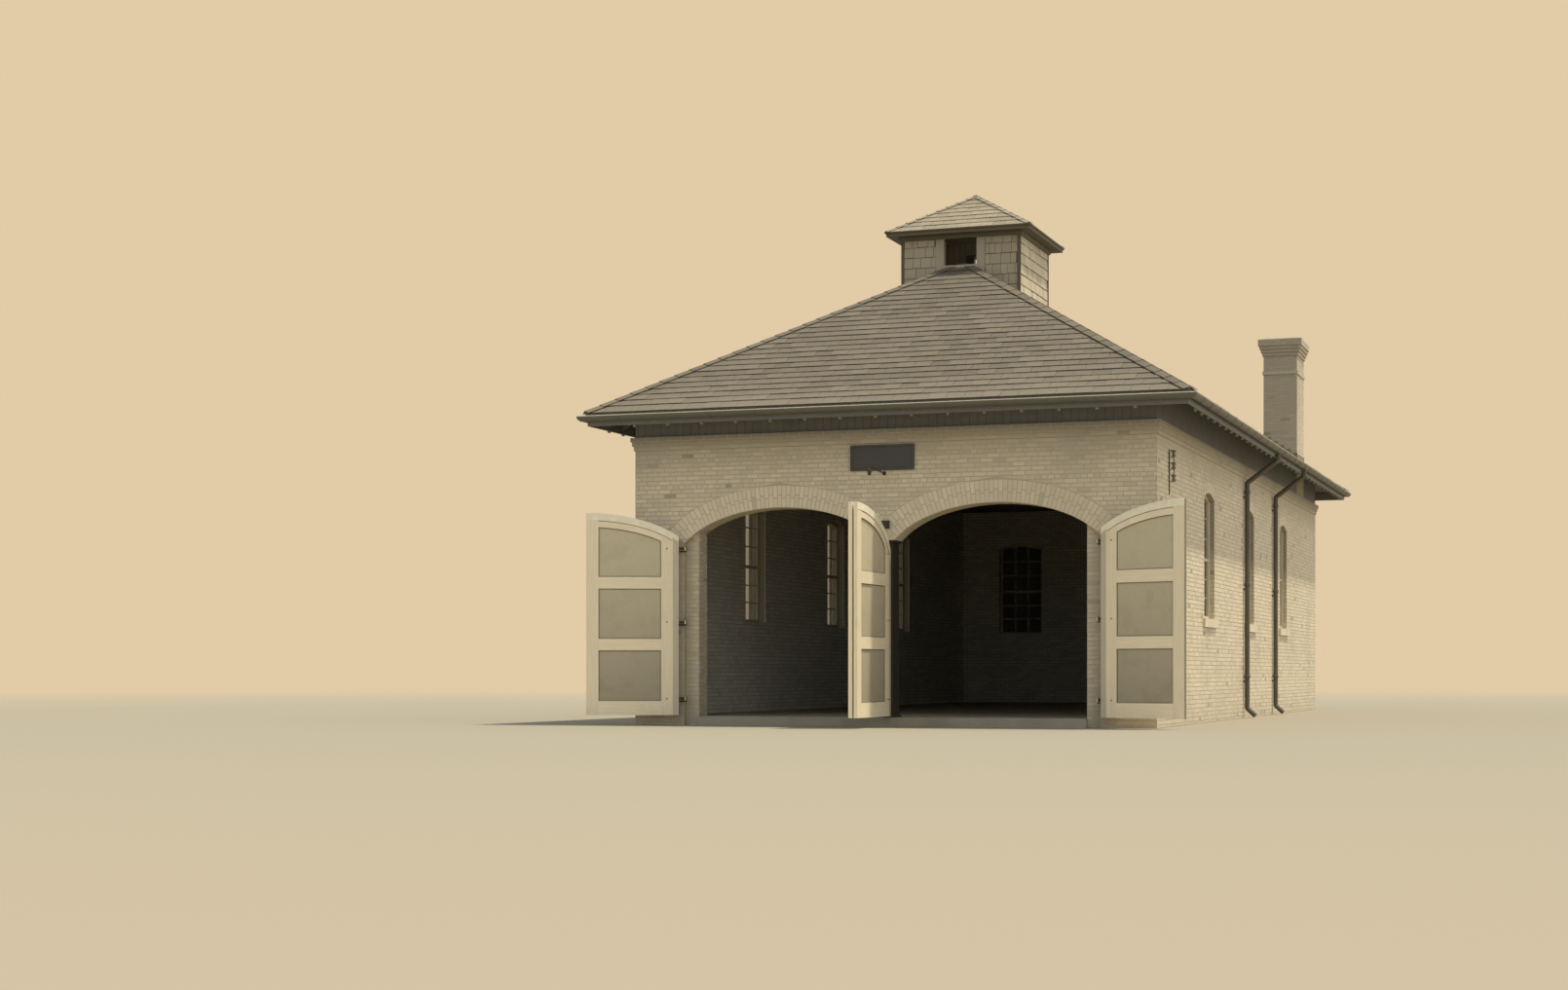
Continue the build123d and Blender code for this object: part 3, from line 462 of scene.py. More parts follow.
def timber_paint(tree, colour, stretch=(60, 60, 2.5), turn=0.0, board=0.0):
    """Painted or weathered timber: grain along the boards, joints between them, worn patches."""
    grain = tree.noise(tree.place(stretch, turn), 1.0, 4, 0.6)
    patch = tree.noise(tree.place(), 2.2, 5, 0.6)
    base = tree.mix(shade(colour, 1.05), shade(colour, 0.86), tree.fade(grain, 0.35, 0.75))
    base = tree.coats(base, colour, (0.8, tree.tone() * 0.35), (0.55, tree.fade(patch, 0.56, 0.8) * 0.3))
    height = grain * 0.6 + patch * 0.3
    if board:
        x, y, z = tree.axes(tree.place(turn=turn))
        joint = tree.fade(tree.curve("FRACT", (x + y) / board), 0.93, 0.97)
        base = tree.coats(base, colour, (0.35, joint * 0.8))
        height = height - joint * 2.0
    return base, 0.45 + patch * 0.3, height


def lining_paint(tree, colour):
    """Timber of the cupola: dark paint outside, pale boards inside."""
    x, y, z = tree.axes(tree.place())
    half = CUPOLA[1].x - 0.06
    inside = (abs(x) < half) * (abs(y - CUPOLA_Y) < half)
    outer, roughness, height = timber_paint(tree, chosen("roof").trim)
    inner = timber_paint(tree, colour, board=0.12)[0]
    return tree.mix(outer, inner, inside), roughness, height


def iron_paint(tree, colour, rust=(96, 62, 38), amount=0.4):
    """Painted iron with small chips and rust."""
    at = tree.place()
    fine = tree.noise(at, 38, 4, 0.7)
    wide = tree.noise(at, 3.5, 3)
    chips = tree.fade(fine + wide * 0.5, 0.83, 0.95)
    base = tree.mix(shade(colour, 0.85), shade(colour, 1.2), wide)
    return tree.mix(base, tint(*rust), chips * amount), 0.4 + fine * 0.35, fine * 0.7 - chips * 0.4


def stone_paint(tree, colour):
    """Tooled stone or poured concrete with fine pits and damp patches."""
    at = tree.place()
    pits = tree.noise(at, 70, 3, 0.75)
    damp = tree.fade(tree.noise(at, 1.1, 5, 0.6), 0.42, 0.75)
    base = tree.mix(shade(colour, 1.08), shade(colour, 0.75), damp)
    return tree.coats(base, colour, (0.55, tree.fade(pits, 0.6, 0.78) * 0.5)), 0.7 + pits * 0.25, pits


def panel_paint(tree, colour):
    """Dull painted panels, darker toward the foot, with a fine weave of brush marks and grime."""
    at = tree.place()
    brush = tree.noise(tree.place((90, 90, 14)), 1.0, 3)
    cross = tree.noise(tree.place((14, 14, 90)), 1.0, 3)
    grime = tree.noise(at, 3.0, 5, 0.65)
    foot = 1 - tree.fade(tree.axes(at)[2] + grime * 0.4, 0.5, 3.0)
    base = tree.mix(shade(colour, 0.8), shade(colour, 1.12), (brush + cross) * 0.5)
    base = tree.coats(base, colour, (0.5, foot * 0.75 + tree.fade(grime, 0.5, 0.8) * 0.3))
    return base, 0.6 + brush * 0.3, brush + cross


def glass_paint(tree, colour, solid=0.0, grime=0.0):
    """Old wavy glass with dust; solid says how dim it is, and grime how much more solid the rear windows are,
    painted shade that keeps them dark seen through the doorways.
    """
    at = tree.place()
    dust = tree.noise(at, 9, 4, 0.7)
    base = tree.mix(shade(colour, 0.8), shade(colour, 2.2), tree.fade(dust, 0.5, 0.85) * 0.6)
    painted = base, 0.06 + dust * 0.2, tree.noise(at, 2.5, 2)
    # Painted shade: the rear windows made nearly solid dark glass.
    return (*painted, solid + grime * (tree.axes(at)[1] > REAR - 0.4)) if solid else painted


# Each finish: group of settings, colour in it, paint, depth of relief, and what else paint and shader take
FINISHES = {
    "brick": ("brickwork", "brick", brick_paint, 0.0015),
    "arch": ("brickwork", "arch", brick_paint, 0.0015, {"spread": 0.55}),
    "mortar_x": ("brickwork", "mortar", mortar_paint, 0.003, {"axis": "x"}),
    "mortar_y": ("brickwork", "mortar", mortar_paint, 0.003, {"axis": "y"}),
    "stone": ("brickwork", "stone", stone_paint, 0.002),
    "concrete": ("brickwork", "concrete", stone_paint, 0.003),
    "slate": ("roof", "slate", slate_paint, 0.003, {"light_foot": EDGE_TOP + 0.11}),
    "slate_caps": ("roof", "slate", slate_paint, 0.003),
    "shingle": ("roof", "shingle", slate_paint, 0.004, {"weather": CUPOLA[0].y + 0.03}),
    "trim": ("roof", "trim", timber_paint, 0.002),
    "shutter": ("roof", "shutter", timber_paint, 0.002, {"stretch": (30, 30, 3)}),
    "lining": ("roof", "lining", lining_paint, 0.002),
    "cupola_slate": ("roof", "cupola_slate", slate_paint, 0.003),
    "gutter": ("roof", "gutter", iron_paint, 0.001, {"amount": 0.25}),
    "lip": ("roof", "lip", iron_paint, 0.001, {"amount": 0.25}),
    "boards": ("roof", "boards", timber_paint, 0.004, {"stretch": (7, 7, 7), "board": 0.14}),
    "tail": ("roof", "tail", timber_paint, 0.002, {"stretch": (12, 12, 12)}),
    "rafter": ("roof", "boards", timber_paint, 0.002, {"stretch": (12, 12, 30)}),
    "lead": ("roof", "lead", iron_paint, 0.002, {"rust": (90, 86, 76)}, {"Metallic": 0.3}),
    "door": ("joinery", "door", timber_paint, 0.0015),
    "panel": ("joinery", "panel", panel_paint, 0.0015),
    "edge": ("joinery", "edge", timber_paint, 0.0015),
    "bead": ("joinery", "bead_colour", timber_paint, 0.001),
    "cover": ("joinery", "cover_colour", timber_paint, 0.0015, {"stretch": (12, 12, 12)}),
    "sash": ("joinery", "sash", timber_paint, 0.0015),
    # The grime option makes the rear windows nearly solid: painted shade.
    "glass": ("joinery", "glass", glass_paint, 0.002, {"solid": 0.45, "grime": 0.52}, {"bump": 0.2}),
    "iron": ("fittings", "iron", iron_paint, 0.002, {}, {"Metallic": 0.4}),
    "pipe": ("fittings", "pipe", iron_paint, 0.002, {"amount": 0.3}, {"Metallic": 0.1}),
    "sign": ("fittings", "sign", iron_paint, 0.002, {"amount": 0.12}),
    "porcelain": ("fittings", "porcelain", glass_paint, 0.002, {}, {"Coat Weight": 0.6}),
}
for body, (pin, pointing, angle, sizes) in LEAVES.items():
    way = leaf_way(pointing, angle)
    grain = {"stretch": (2.5, 60, 60), "turn": -math.atan2(way.y, way.x)}
    FINISHES[f"rail_{body}"] = ("joinery", "door", timber_paint, 0.0015, grain)


@cache
def finish_for(name):
    """The material with that name, made the first time that it is asked for."""
    group, setting, paint, depth, options, shader = (*FINISHES[name], {}, {})[:6]
    colour = getattr(chosen(group), setting)
    return material(name, lambda tree: paint(tree, colour, **options), depth=depth, **shader)


# Blocks laid by Geometry Nodes

BLOCK_INPUTS = (
    ("Geometry", "NodeSocketGeometry"),
    ("Shoulder", "NodeSocketFloat"),
    ("Eased edge", "NodeSocketFloat"),
    ("Unevenness", "NodeSocketFloat"),
    ("Seed", "NodeSocketInt"),
    ("Material", "NodeSocketMaterial"),
)
CORNERS = ("corner_a", "corner_b", "corner_c", "corner_d", "way_out")


@cache
def block_tree():
    """Tree that puts a block with eased edges on each point, stretched to the corners the point carries."""
    group = bpy.data.node_groups.new("lay_blocks", "GeometryNodeTree")
    names = {}
    for label, kind in BLOCK_INPUTS:
        names[label] = group.interface.new_socket(name=label, in_out="INPUT", socket_type=kind).identifier
    group.interface.new_socket(name="Geometry", in_out="OUTPUT", socket_type="NodeSocketGeometry")
    tree = Tree(group)
    enter = tree.node("NodeGroupInput").socket.node
    given = {label: Wire(tree, enter.outputs[label]) for label, kind in BLOCK_INPUTS}
    shoulder = given["Shoulder"]
    size = tree.node("ShaderNodeCombineXYZ", sockets={0: 1.0, 1: 1.0, 2: shoulder})
    cube = tree.node("GeometryNodeMeshCube", sockets={"Size": size})
    cube = tree.node("GeometryNodeTransform", sockets={"Geometry": cube, "Translation": size * 0.5})
    facing = tree.axes(tree.node("GeometryNodeInputNormal"))[2] > 0.5
    block = tree.node(
        "GeometryNodeExtrudeMesh", {"mode": "FACES"},
        {"Mesh": cube, "Selection": facing, "Offset Scale": 1 - shoulder, "Individual": False},
    )
    laid = tree.node("GeometryNodeInstanceOnPoints", sockets={"Points": given["Geometry"], "Instance": block})
    limits = {"Min": 0.0, "Max": 1.0, "Seed": given["Seed"]}
    chance = tree.node("FunctionNodeRandomValue", {"data_type": "FLOAT"}, limits)
    laid = tree.node(
        "GeometryNodeStoreNamedAttribute", {"data_type": "FLOAT", "domain": "INSTANCE"},
        {"Geometry": laid, "Name": "tone", "Value": chance},
    )
    laid = tree.node("GeometryNodeRealizeInstances", sockets={"Geometry": laid})

    def carried(name, kind):
        return tree.node("GeometryNodeInputNamedAttribute", {"data_type": kind}, {"Name": name})

    a, b, c, d, out = (carried(name, "FLOAT_VECTOR") for name in CORNERS)
    tone = carried("tone", "FLOAT")
    s, t, k = tree.axes(tree.node("GeometryNodeInputPosition"))
    low = a + (b - a) * s
    high = d + (c - d) * s
    laid = tree.node(
        "GeometryNodeStoreNamedAttribute", {"data_type": "FLOAT_VECTOR", "domain": "POINT"},
        {"Geometry": laid, "Name": "spot", "Value": tree.node("GeometryNodeInputPosition")},
    )
    point = low + (high - low) * t + out * (k * (1 + given["Unevenness"] * (tone - 0.5)))
    right = tree.vectors("NORMALIZE", {0: b - a})
    up = tree.vectors("NORMALIZE", {0: d - a})
    ease = given["Eased edge"] * (k > 0.99)
    point = point + right * ((1 - 2 * s) * ease) + up * ((1 - 2 * t) * ease)
    laid = tree.node("GeometryNodeSetPosition", sockets={"Geometry": laid, "Position": point})
    laid = tree.node("GeometryNodeSetMaterial", sockets={"Geometry": laid, "Material": given["Material"]})
    tree.node("NodeGroupOutput", sockets={"Geometry": laid})
    return group, names


def finished(name, mesh, body, slot, replaced=()):
    """Puts a finished mesh in the scene as a piece of the object."""
    piece = bpy.data.objects.new(name, mesh)
    bpy.context.scene.collection.objects.link(piece)
    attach(piece, body)
    if replaced:
        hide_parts(*replaced)


def lay(
    name, blocks, finish, slot, body="building", eased=0.003, shoulder=0.65, uneven=0.3, seed=3, replaced=()
):
    """Lays the blocks with Geometry Nodes and keeps the result as one plain mesh."""
    group, names = block_tree()
    points = bpy.data.meshes.new(f"{name}_points")
    points.from_pydata([(0, 0, 0)] * len(blocks), [], [])
    for index, label in enumerate(CORNERS):
        flat = [number for block in blocks for number in block[index]]
        points.attributes.new(label, "FLOAT_VECTOR", "POINT").data.foreach_set("vector", flat)
    holder = bpy.data.objects.new(f"{name}_points", points)
    bpy.context.scene.collection.objects.link(holder)
    modifier = holder.modifiers.new("lay_blocks", "NODES")
    modifier.node_group = group
    values = (shoulder, eased, uneven, seed, finish_for(finish))
    for label, value in zip(("Shoulder", "Eased edge", "Unevenness", "Seed", "Material"), values):
        modifier[names[label]] = value
    mesh = bpy.data.meshes.new_from_object(holder.evaluated_get(bpy.context.evaluated_depsgraph_get()))
    holder.modifiers.remove(modifier)
    bpy.data.objects.remove(holder)
    for label in CORNERS:
        mesh.attributes.remove(mesh.attributes[label])
    finished(name, mesh, body, slot, replaced)


def face_plane(origin, along, up=(0, 0, 1)):
    """Frame of a flat face: along it, up it, and out of it."""
    along = Vector(along).normalized()
    up = Vector(up).normalized()
    matrix = Matrix((along, up, along.cross(up))).transposed().to_4x4()
    matrix.translation = Vector(origin)
    return matrix


def corners(a, b, c, d, out):
    """A block from its back's four corners and the way out, turned so that it isn't inside out."""
    a, b, c, d, out = (Vector(v) for v in (a, b, c, d, out))
    if (b - a).cross(d - a).dot(out) + (b - a).cross(c - b).dot(out) < 0:
        a, b, c, d = b, a, d, c
    return a, b, c, d, out


def block(plane, quad, back, depth, tail=0.0):
    """A block on a face, from four places on it; the first two are the tail, which may stand further out."""
    lift = (tail, tail, 0.0, 0.0)
    spots = [plane @ Vector((s, t, back + raised)) for (s, t), raised in zip(quad, lift)]
    return corners(*spots, plane.to_3x3() @ Vector((0, 0, depth)))


def rect(s0, s1, t0, t1):
    return (s0, t0), (s1, t0), (s1, t1), (s0, t1)


def box_block(plane, s0, s1, t0, t1, back, depth):
    return block(plane, rect(*sorted((s0, s1)), t0, t1), back, depth)


def spans(start, end, count):
    """Both ends of each of the equal lengths from start to end."""
    places = [start + (end - start) * i / count for i in range(count + 1)]
    return list(zip(places, places[1:]))


def arc(middle, top, wide, deep, each, steps):
    """Places on an ellipse about a point, from its near side down and round, one at each step."""
    return [(middle - wide * math.cos(each * i), top - deep * math.sin(each * i)) for i in steps]


def course_lines(foot, top, height, breaks=()):
    """Pairs of heights of each course, counted down from the top."""
    count = int((top - foot) / height + 0.999)
    lines = [top - height * i for i in range(count)]
    lines = sorted({foot, *breaks, *(line for line in lines if line > foot + 0.012)})
    return [(low, high) for low, high in zip(lines, lines[1:]) if high - low > THIN_COURSE]


def runs(left, right, holes, low, high):
    """Stretches of a course between holes, as left low, left high, right low and right high."""
    middle = (low + high) / 2
    start = [left(low), left(high)]
    found = []
    for hole in holes:
        cut = [hole(low, middle), hole(high, middle)]
        if cut == [None, None]:
            continue
        for i in (0, 1):
            if cut[i] is None:
                cut[i] = (sum(cut[1 - i]) / 2,) * 2
        stop = [cut[0][0], cut[1][0]]
        for i in (0, 1):
            if start[i] > stop[i]:
                start[i] = stop[i] = (start[i] + stop[i]) / 2
        found.append((*start, *stop))
        start = [cut[0][1], cut[1][1]]
    found.append((*start, right(low), right(high)))
    return found


def fill_course(plane, ends, low, high, length, offset, joint, back, depth, tail=0.0, lap=0.0, chance=None):
    """Blocks that fill one stretch of a course, cut where it ends."""
    left_low, left_high, right_low, right_high = ends
    made = []
    edge = offset + math.floor((min(left_low, left_high) - offset) / length) * length
    gap = joint / 2

    def within(place, left, right):
        return min(max(place, left + gap), right - gap)

    while edge < max(right_low, right_high):
        step = length * (chance.uniform(0.55, 1.25) if chance and lap else 1.0)
        a, b = (within(place, left_low, right_low) for place in (edge + gap, edge + step - gap))
        d, c = (within(place, left_high, right_high) for place in (edge + gap, edge + step - gap))
        if max(b - a, c - d) > SHORT_BLOCK:
            foot = low + gap + (chance.uniform(-0.004, 0.004) if chance else 0.0)
            quad = ((a, foot), (max(a, b), foot), (max(c, d), high - gap + lap), (d, high - gap + lap))
            made.append(block(plane, quad, back, depth, tail))
        edge += step
    return made


def built(name, mesh, finish, body, slot, replaced=(), most_corners=0):
    """Puts a hand-built mesh in the scene, smooth where its faces have no more than that many corners."""
    bmesh.ops.recalc_face_normals(mesh, faces=mesh.faces)
    made = bpy.data.meshes.new(name)
    mesh.to_mesh(made)
    mesh.free()
    made.materials.append(finish_for(finish))
    for polygon in made.polygons:
        polygon.use_smooth = len(polygon.vertices) <= most_corners
    finished(name, made, body, slot, replaced)


def moulding(name, middle, half, profile, finish, slot, replaced=()):
    """A closed moulding round a rectangle, mitred at its corners; the profile is out and up."""
    mesh = bmesh.new()
    rings = [
        [
            mesh.verts.new((middle[0] + x * (half[0] + out), middle[1] + y * (half[1] + out), up))
            for out, up in profile
        ]
        for x, y in ((-1, -1), (1, -1), (1, 1), (-1, 1))
    ]
    for ring, after in zip(rings, rings[1:] + rings[:1]):
        for i, j in enumerate([*range(1, len(profile)), 0]):
            mesh.faces.new((ring[i], after[i], after[j], ring[j]))
    built(name, mesh, finish, "building", slot, replaced)


def turned(name, parts, finish, slot, sides=20, body="building", bored=False, replaced=()):
    """Lathe-turned pieces in one mesh: each part is a place, an axis and a profile of radius and length;
    those that are bored have a hole through them."""
    mesh = bmesh.new()
    for place, axis, profile in parts:
        turn = Vector((0, 0, 1)).rotation_difference(Vector(axis)).to_matrix()
        rings = []
        for radius, length in profile:
            angles = [math.tau * i / sides for i in range(sides if radius > 1e-6 else 1)]
            spots = [Vector((radius * math.cos(angle), radius * math.sin(angle), length)) for angle in angles]
            rings.append([mesh.verts.new(Vector(place) + turn @ spot) for spot in spots])
        for low, high in zip(rings, rings[1:] + rings[:1] * bored):
            for i in range(sides):
                j = (i + 1) % sides
                if len(low) == 1:
                    mesh.faces.new((low[0], high[j], high[i]))
                elif len(high) == 1:
                    mesh.faces.new((low[i], low[j], high[0]))
                else:
                    mesh.faces.new((low[i], low[j], high[j], high[i]))
        for ring in (rings[0], rings[-1]):
            if len(ring) > 1 and not bored:
                mesh.faces.new(ring)
    built(name, mesh, finish, body, slot, replaced, 4)


# Settings that a user would change


def length_setting(name, description, default):
    return FloatProperty(
        name=name, description=description, default=default, unit="LENGTH", subtype="DISTANCE", precision=4
    )


def colour_setting(name, description, red, green, blue):
    start = tint(red, green, blue)
    return FloatVectorProperty(
        name=name, description=description, default=start, subtype="COLOR", size=3, min=0, max=1
    )


class FIREHOUSE_PG_brickwork(bpy.types.PropertyGroup):
    """Sizes and colours of the brickwork."""

    length: length_setting("Brick length", "One stretcher with its joint", 0.2143)
    course: length_setting("Course height", "One course with its joint", 0.075)
    joint: length_setting("Joint", "Width of the mortar joints", 0.011)
    proud: length_setting("Proud", "How far the bricks stand out of the mortar", 0.004)
    header_every: IntProperty(name="Header every", description="Courses from header to header", default=6)
    brick: colour_setting("Brick", "Middle tone of the buff bricks", 207, 192, 162)
    arch: colour_setting("Arch brick", "Middle tone of the bricks in the arches", 214, 199, 168)
    mortar: colour_setting("Mortar", "Mortar in the joints", 182, 171, 145)
    limewash: colour_setting("Limewash", "Inside of the engine room", 224, 217, 198)
    stone: colour_setting("Stone", "Window sills", 206, 192, 163)
    concrete: colour_setting("Concrete", "Floor of the engine room", 152, 144, 124)


class FIREHOUSE_PG_roof(bpy.types.PropertyGroup):
    """Sizes and colours of the roofs and gutters."""

    exposure: length_setting("Course of slates", "Height of a course along the slope", 0.229)
    width: length_setting("Slate width", "Width of one slate", 0.3)
    thickness: length_setting("Slate thickness", "Thickness of one slate", 0.008)
    shingle_course: length_setting("Course of shingles", "Height of a course on the cupola", 0.192)
    shingle_width: length_setting("Shingle width", "Middle width of a shingle", 0.19)
    slate: colour_setting("Slate", "Main roof", 101, 93, 78)
    shingle: colour_setting("Shingle", "Cupola walls", 198, 183, 152)
    trim: colour_setting("Cupola trim", "Corner boards and eaves of the cupola", 92, 84, 66)
    gutter: colour_setting("Gutter", "Gutters and their brackets", 94, 90, 77)
    # Painted highlight: the gutter's rolled front edge painted much lighter than the gutter's own iron.
    lip: colour_setting("Gutter lip", "Sunlit front edge of the gutters", 176, 166, 139)
    boards: colour_setting("Roof boards", "Underside of the eaves", 110, 108, 101)
    lead: colour_setting("Lead", "Flashings", 128, 122, 106)
    lining: colour_setting("Cupola lining", "Inside of the cupola", 232, 224, 204)
    shutter: colour_setting("Cupola frames", "Frames of the cupola's openings", 158, 148, 124)
    cupola_slate: colour_setting("Cupola slate", "Roof of the cupola", 139, 129, 107)
    # Painted highlight: the cut ends of the rafters painted lighter than the rafters, as where they catch the
    # light.
    tail: colour_setting("Rafter ends", "Painted ends of the rafters", 132, 127, 112)


class FIREHOUSE_PG_joinery(bpy.types.PropertyGroup):
    """Sizes and colours of doors and windows."""

    bead: length_setting("Panel bead", "Width of the beads round the door panels", 0.013)
    bar: length_setting("Glazing bar", "Width of the glazing bars", 0.024)
    panes_across: IntProperty(name="Panes across", description="Panes in the width of a sash", default=3)
    panes_up: IntProperty(name="Panes up", description="Panes in the height of a sash", default=3)
    door: colour_setting("Door frame", "Stiles and rails", 244, 226, 188)
    panel: colour_setting("Door panel", "Panels of the doors", 203, 189, 156)
    edge: colour_setting("Door edge board", "Weathered board along the hinges", 200, 188, 160)
    # Painted shade: the beads, drip moulds and free ends of the outer leaves are painted dark as the shadow
    # lines round the panels, under the head strip and at the free edge.
    bead_colour: colour_setting("Door bead", "Beads round the door panels", 128, 120, 98)
    # Painted highlight: the cover strip painted lighter than the rest of the leaf, as where the sun catches
    # it.
    cover_colour: colour_setting("Door cover strip", "Strip along the curved head of a leaf", 248, 235, 204)
    sash: colour_setting("Sash", "Window sashes", 196, 184, 154)
    glass: colour_setting("Glass", "Window glass", 58, 56, 50)


class FIREHOUSE_PG_fittings(bpy.types.PropertyGroup):
    """Sizes and colours of the iron fittings."""

    collar: length_setting("Pipe collar", "Height of the collars on the rain pipes", 0.07)
    bolt: length_setting("Bolt head", "Width of the bolt heads", 0.022)
    iron: colour_setting("Iron", "Hinges, bolts and brackets", 66, 62, 54)
    pipe: colour_setting("Pipe", "Rain pipes", 84, 80, 69)
    sign: colour_setting("Sign", "Bare sign board", 66, 67, 66)
    porcelain: colour_setting("Porcelain", "Insulators", 112, 106, 92)


class FIREHOUSE_PG_stage(bpy.types.PropertyGroup):
    """Light, floor and camera."""

    lens: FloatProperty(name="Lens", description="Focal length of the camera in millimetres", default=53.99)
    sun: FloatProperty(name="Sun", description="Strength of the main lamp", default=3.7)
    sky: FloatProperty(name="Sky", description="Strength of the light from all round", default=0.69)
    floor: colour_setting("Floor", "Plain pale floor", 156, 147, 128)
    background: colour_setting("Background", "What the camera sees behind the object", 226, 203, 167)


SETTINGS = {
    "firehouse_brickwork": FIREHOUSE_PG_brickwork,
    "firehouse_roof": FIREHOUSE_PG_roof,
    "firehouse_joinery": FIREHOUSE_PG_joinery,
    "firehouse_fittings": FIREHOUSE_PG_fittings,
    "firehouse_stage": FIREHOUSE_PG_stage,
}


def chosen(name):
    return getattr(bpy.context.scene, f"firehouse_{name}")


# Brickwork

WALLS = {
    "front": (face_plane((0, FRONT, 0), (1, 0, 0)), HALF_WIDTH, 0.0),
    "right": (face_plane((HALF_WIDTH, 0, 0), (0, 1, 0)), REAR, SIDE_SHIFT),
    "rear": (face_plane((0, REAR, 0), (-1, 0, 0)), HALF_WIDTH, 0.0),
    "left": (face_plane((-HALF_WIDTH, 0, 0), (0, -1, 0)), REAR, SIDE_SHIFT),
}
WINDOWS = {
    "right": SIDE_WINDOWS,
    "rear": REAR_WINDOWS,
    "left": tuple(-y for y in reversed(SIDE_WINDOWS)),
}


def doorway_hole(height, middle):
    return (-DOOR_SIDE, DOOR_SIDE) if middle < SPRING else None


def arch_hole(hand):
    """What the ring over a doorway takes from the courses of the front, on one side of the middle."""
    slope = math.atan2((SPRING - ARCH_Z) / ARCH_RISE ** 2, (DOOR_SIDE - ARCH_X) / ARCH_SPAN ** 2)

    def hole(height, middle):
        if middle < SPRING or height > ARCH_Z + ARCH_RISE + RING_DEPTH:
            return None
        share = (height - ARCH_Z) / (ARCH_RISE + RING_DEPTH)
        half = (ARCH_SPAN + RING_DEPTH) * math.sqrt(max(0, 1 - share ** 2))
        half = min(half, DOOR_SIDE - ARCH_X + (height - SPRING) / math.tan(slope))
        return tuple(sorted((hand * max(0, ARCH_X - half), hand * (ARCH_X + half))))

    return hole


def window_hole(centre):
    """What a window with its sill and brick head takes from the courses."""
    def hole(height, middle):
        outer = HEAD_RADIUS + HEAD_RING
        rise = height - HEAD_CENTRE
        if middle < SILL_FOOT or (middle >= HEAD_SPRING and rise > outer):
            return None
        if middle < HEAD_SPRING:
            half = SILL_HALF if middle < SILL_TOP else WINDOW_HALF
        else:
            half = min(math.sqrt(outer ** 2 - rise ** 2), WINDOW_HALF * rise / (HEAD_SPRING - HEAD_CENTRE))
        return centre - half, centre + half

    return hole


def ring_stations(half_span, rise, start, end, width):
    """How many blocks of equal width an arch takes, their width, and the angle at a length along it."""
    steps = 400
    angles = [start + (end - start) * i / steps for i in range(steps + 1)]
    lengths = [0.0]
    for a, b in zip(angles, angles[1:]):
        dx = half_span * (math.cos(b) - math.cos(a))
        dz = rise * (math.sin(b) - math.sin(a))
        lengths.append(lengths[-1] + math.hypot(dx, dz))
    count = max(3, round(lengths[-1] / width) | 1)

    def angle_at(length):
        i = next((i for i, reached in enumerate(lengths) if reached >= length), steps)
        share = (length - lengths[i - 1]) / (lengths[i] - lengths[i - 1])
        return angles[i - 1] + (angles[i] - angles[i - 1]) * share

    return count, lengths[-1] / count, angle_at


def ring_blocks(use, plane, centre, half_span, rise, depth, start, width, soffit, wall=None):
    """Bricks on edge round an arch, square to its curve, and their undersides through the wall."""
    joint, proud = use.joint * 0.8, use.proud
    count, each, angle_at = ring_stations(half_span, rise, start, math.pi - start, width)
    made = []

    def ray(angle):
        point = Vector((centre[0] + half_span * math.cos(angle), centre[1] + rise * math.sin(angle)))
        px, pz = point.x - centre[0], point.y - centre[1]
        way = Vector((math.cos(angle) / half_span, math.sin(angle) / rise)).normalized()
        outer = (half_span + depth, rise + depth)
        a = (way.x / outer[0]) ** 2 + (way.y / outer[1]) ** 2
        b = 2 * (px * way.x / outer[0] ** 2 + pz * way.y / outer[1] ** 2)
        c = (px / outer[0]) ** 2 + (pz / outer[1]) ** 2 - 1
        reach = (-b + math.sqrt(b * b - 4 * a * c)) / (2 * a)
        if wall is not None and (point.x + reach * way.x - wall) * (point.x - wall) < 0:
            reach = (wall - point.x) / way.x
        return point, way, reach

    for index in range(count):
        near = ray(angle_at(each * index + joint / 2))
        far = ray(angle_at(each * (index + 1) - joint / 2))
        split = RING_SPLITS[index % 2]
        for low, high in ((0.0, split), (split, 1.0)):
            quad = []
            for (point, way, reach), share in ((near, low), (far, low), (far, high), (near, high)):
                inset = joint / 2 if share == high else (-joint / 2 if low else 0.002)
                quad.append(point + way * max(0.0, reach * share - inset))
            made.append(block(plane, quad, -proud, 2 * proud))
        middle = soffit * SOFFIT_SPLITS[index % 2]
        for front, back in ((0.0, middle - joint / 2), (middle + joint / 2, soffit)):
            places = ((near, front), (far, front), (far, back), (near, back))
            spots = [plane @ Vector((*point, -out)) for (point, way, reach), out in places]
            way = (near[1] + far[1]).normalized()
            out = plane.to_3x3() @ Vector((-way.x, -way.y, 0)) * (2 * proud)
            made.append(corners(*[spot - out / 2 for spot in spots], out))
    return made


def bricks(use, plane, ends, low, high, length, offset, out=0.0):
    """Bricks that fill one stretch of a course, a little proud of their mortar."""
    return fill_course(plane, ends, low, high, length, offset, use.joint, out - use.proud, 2 * use.proud)


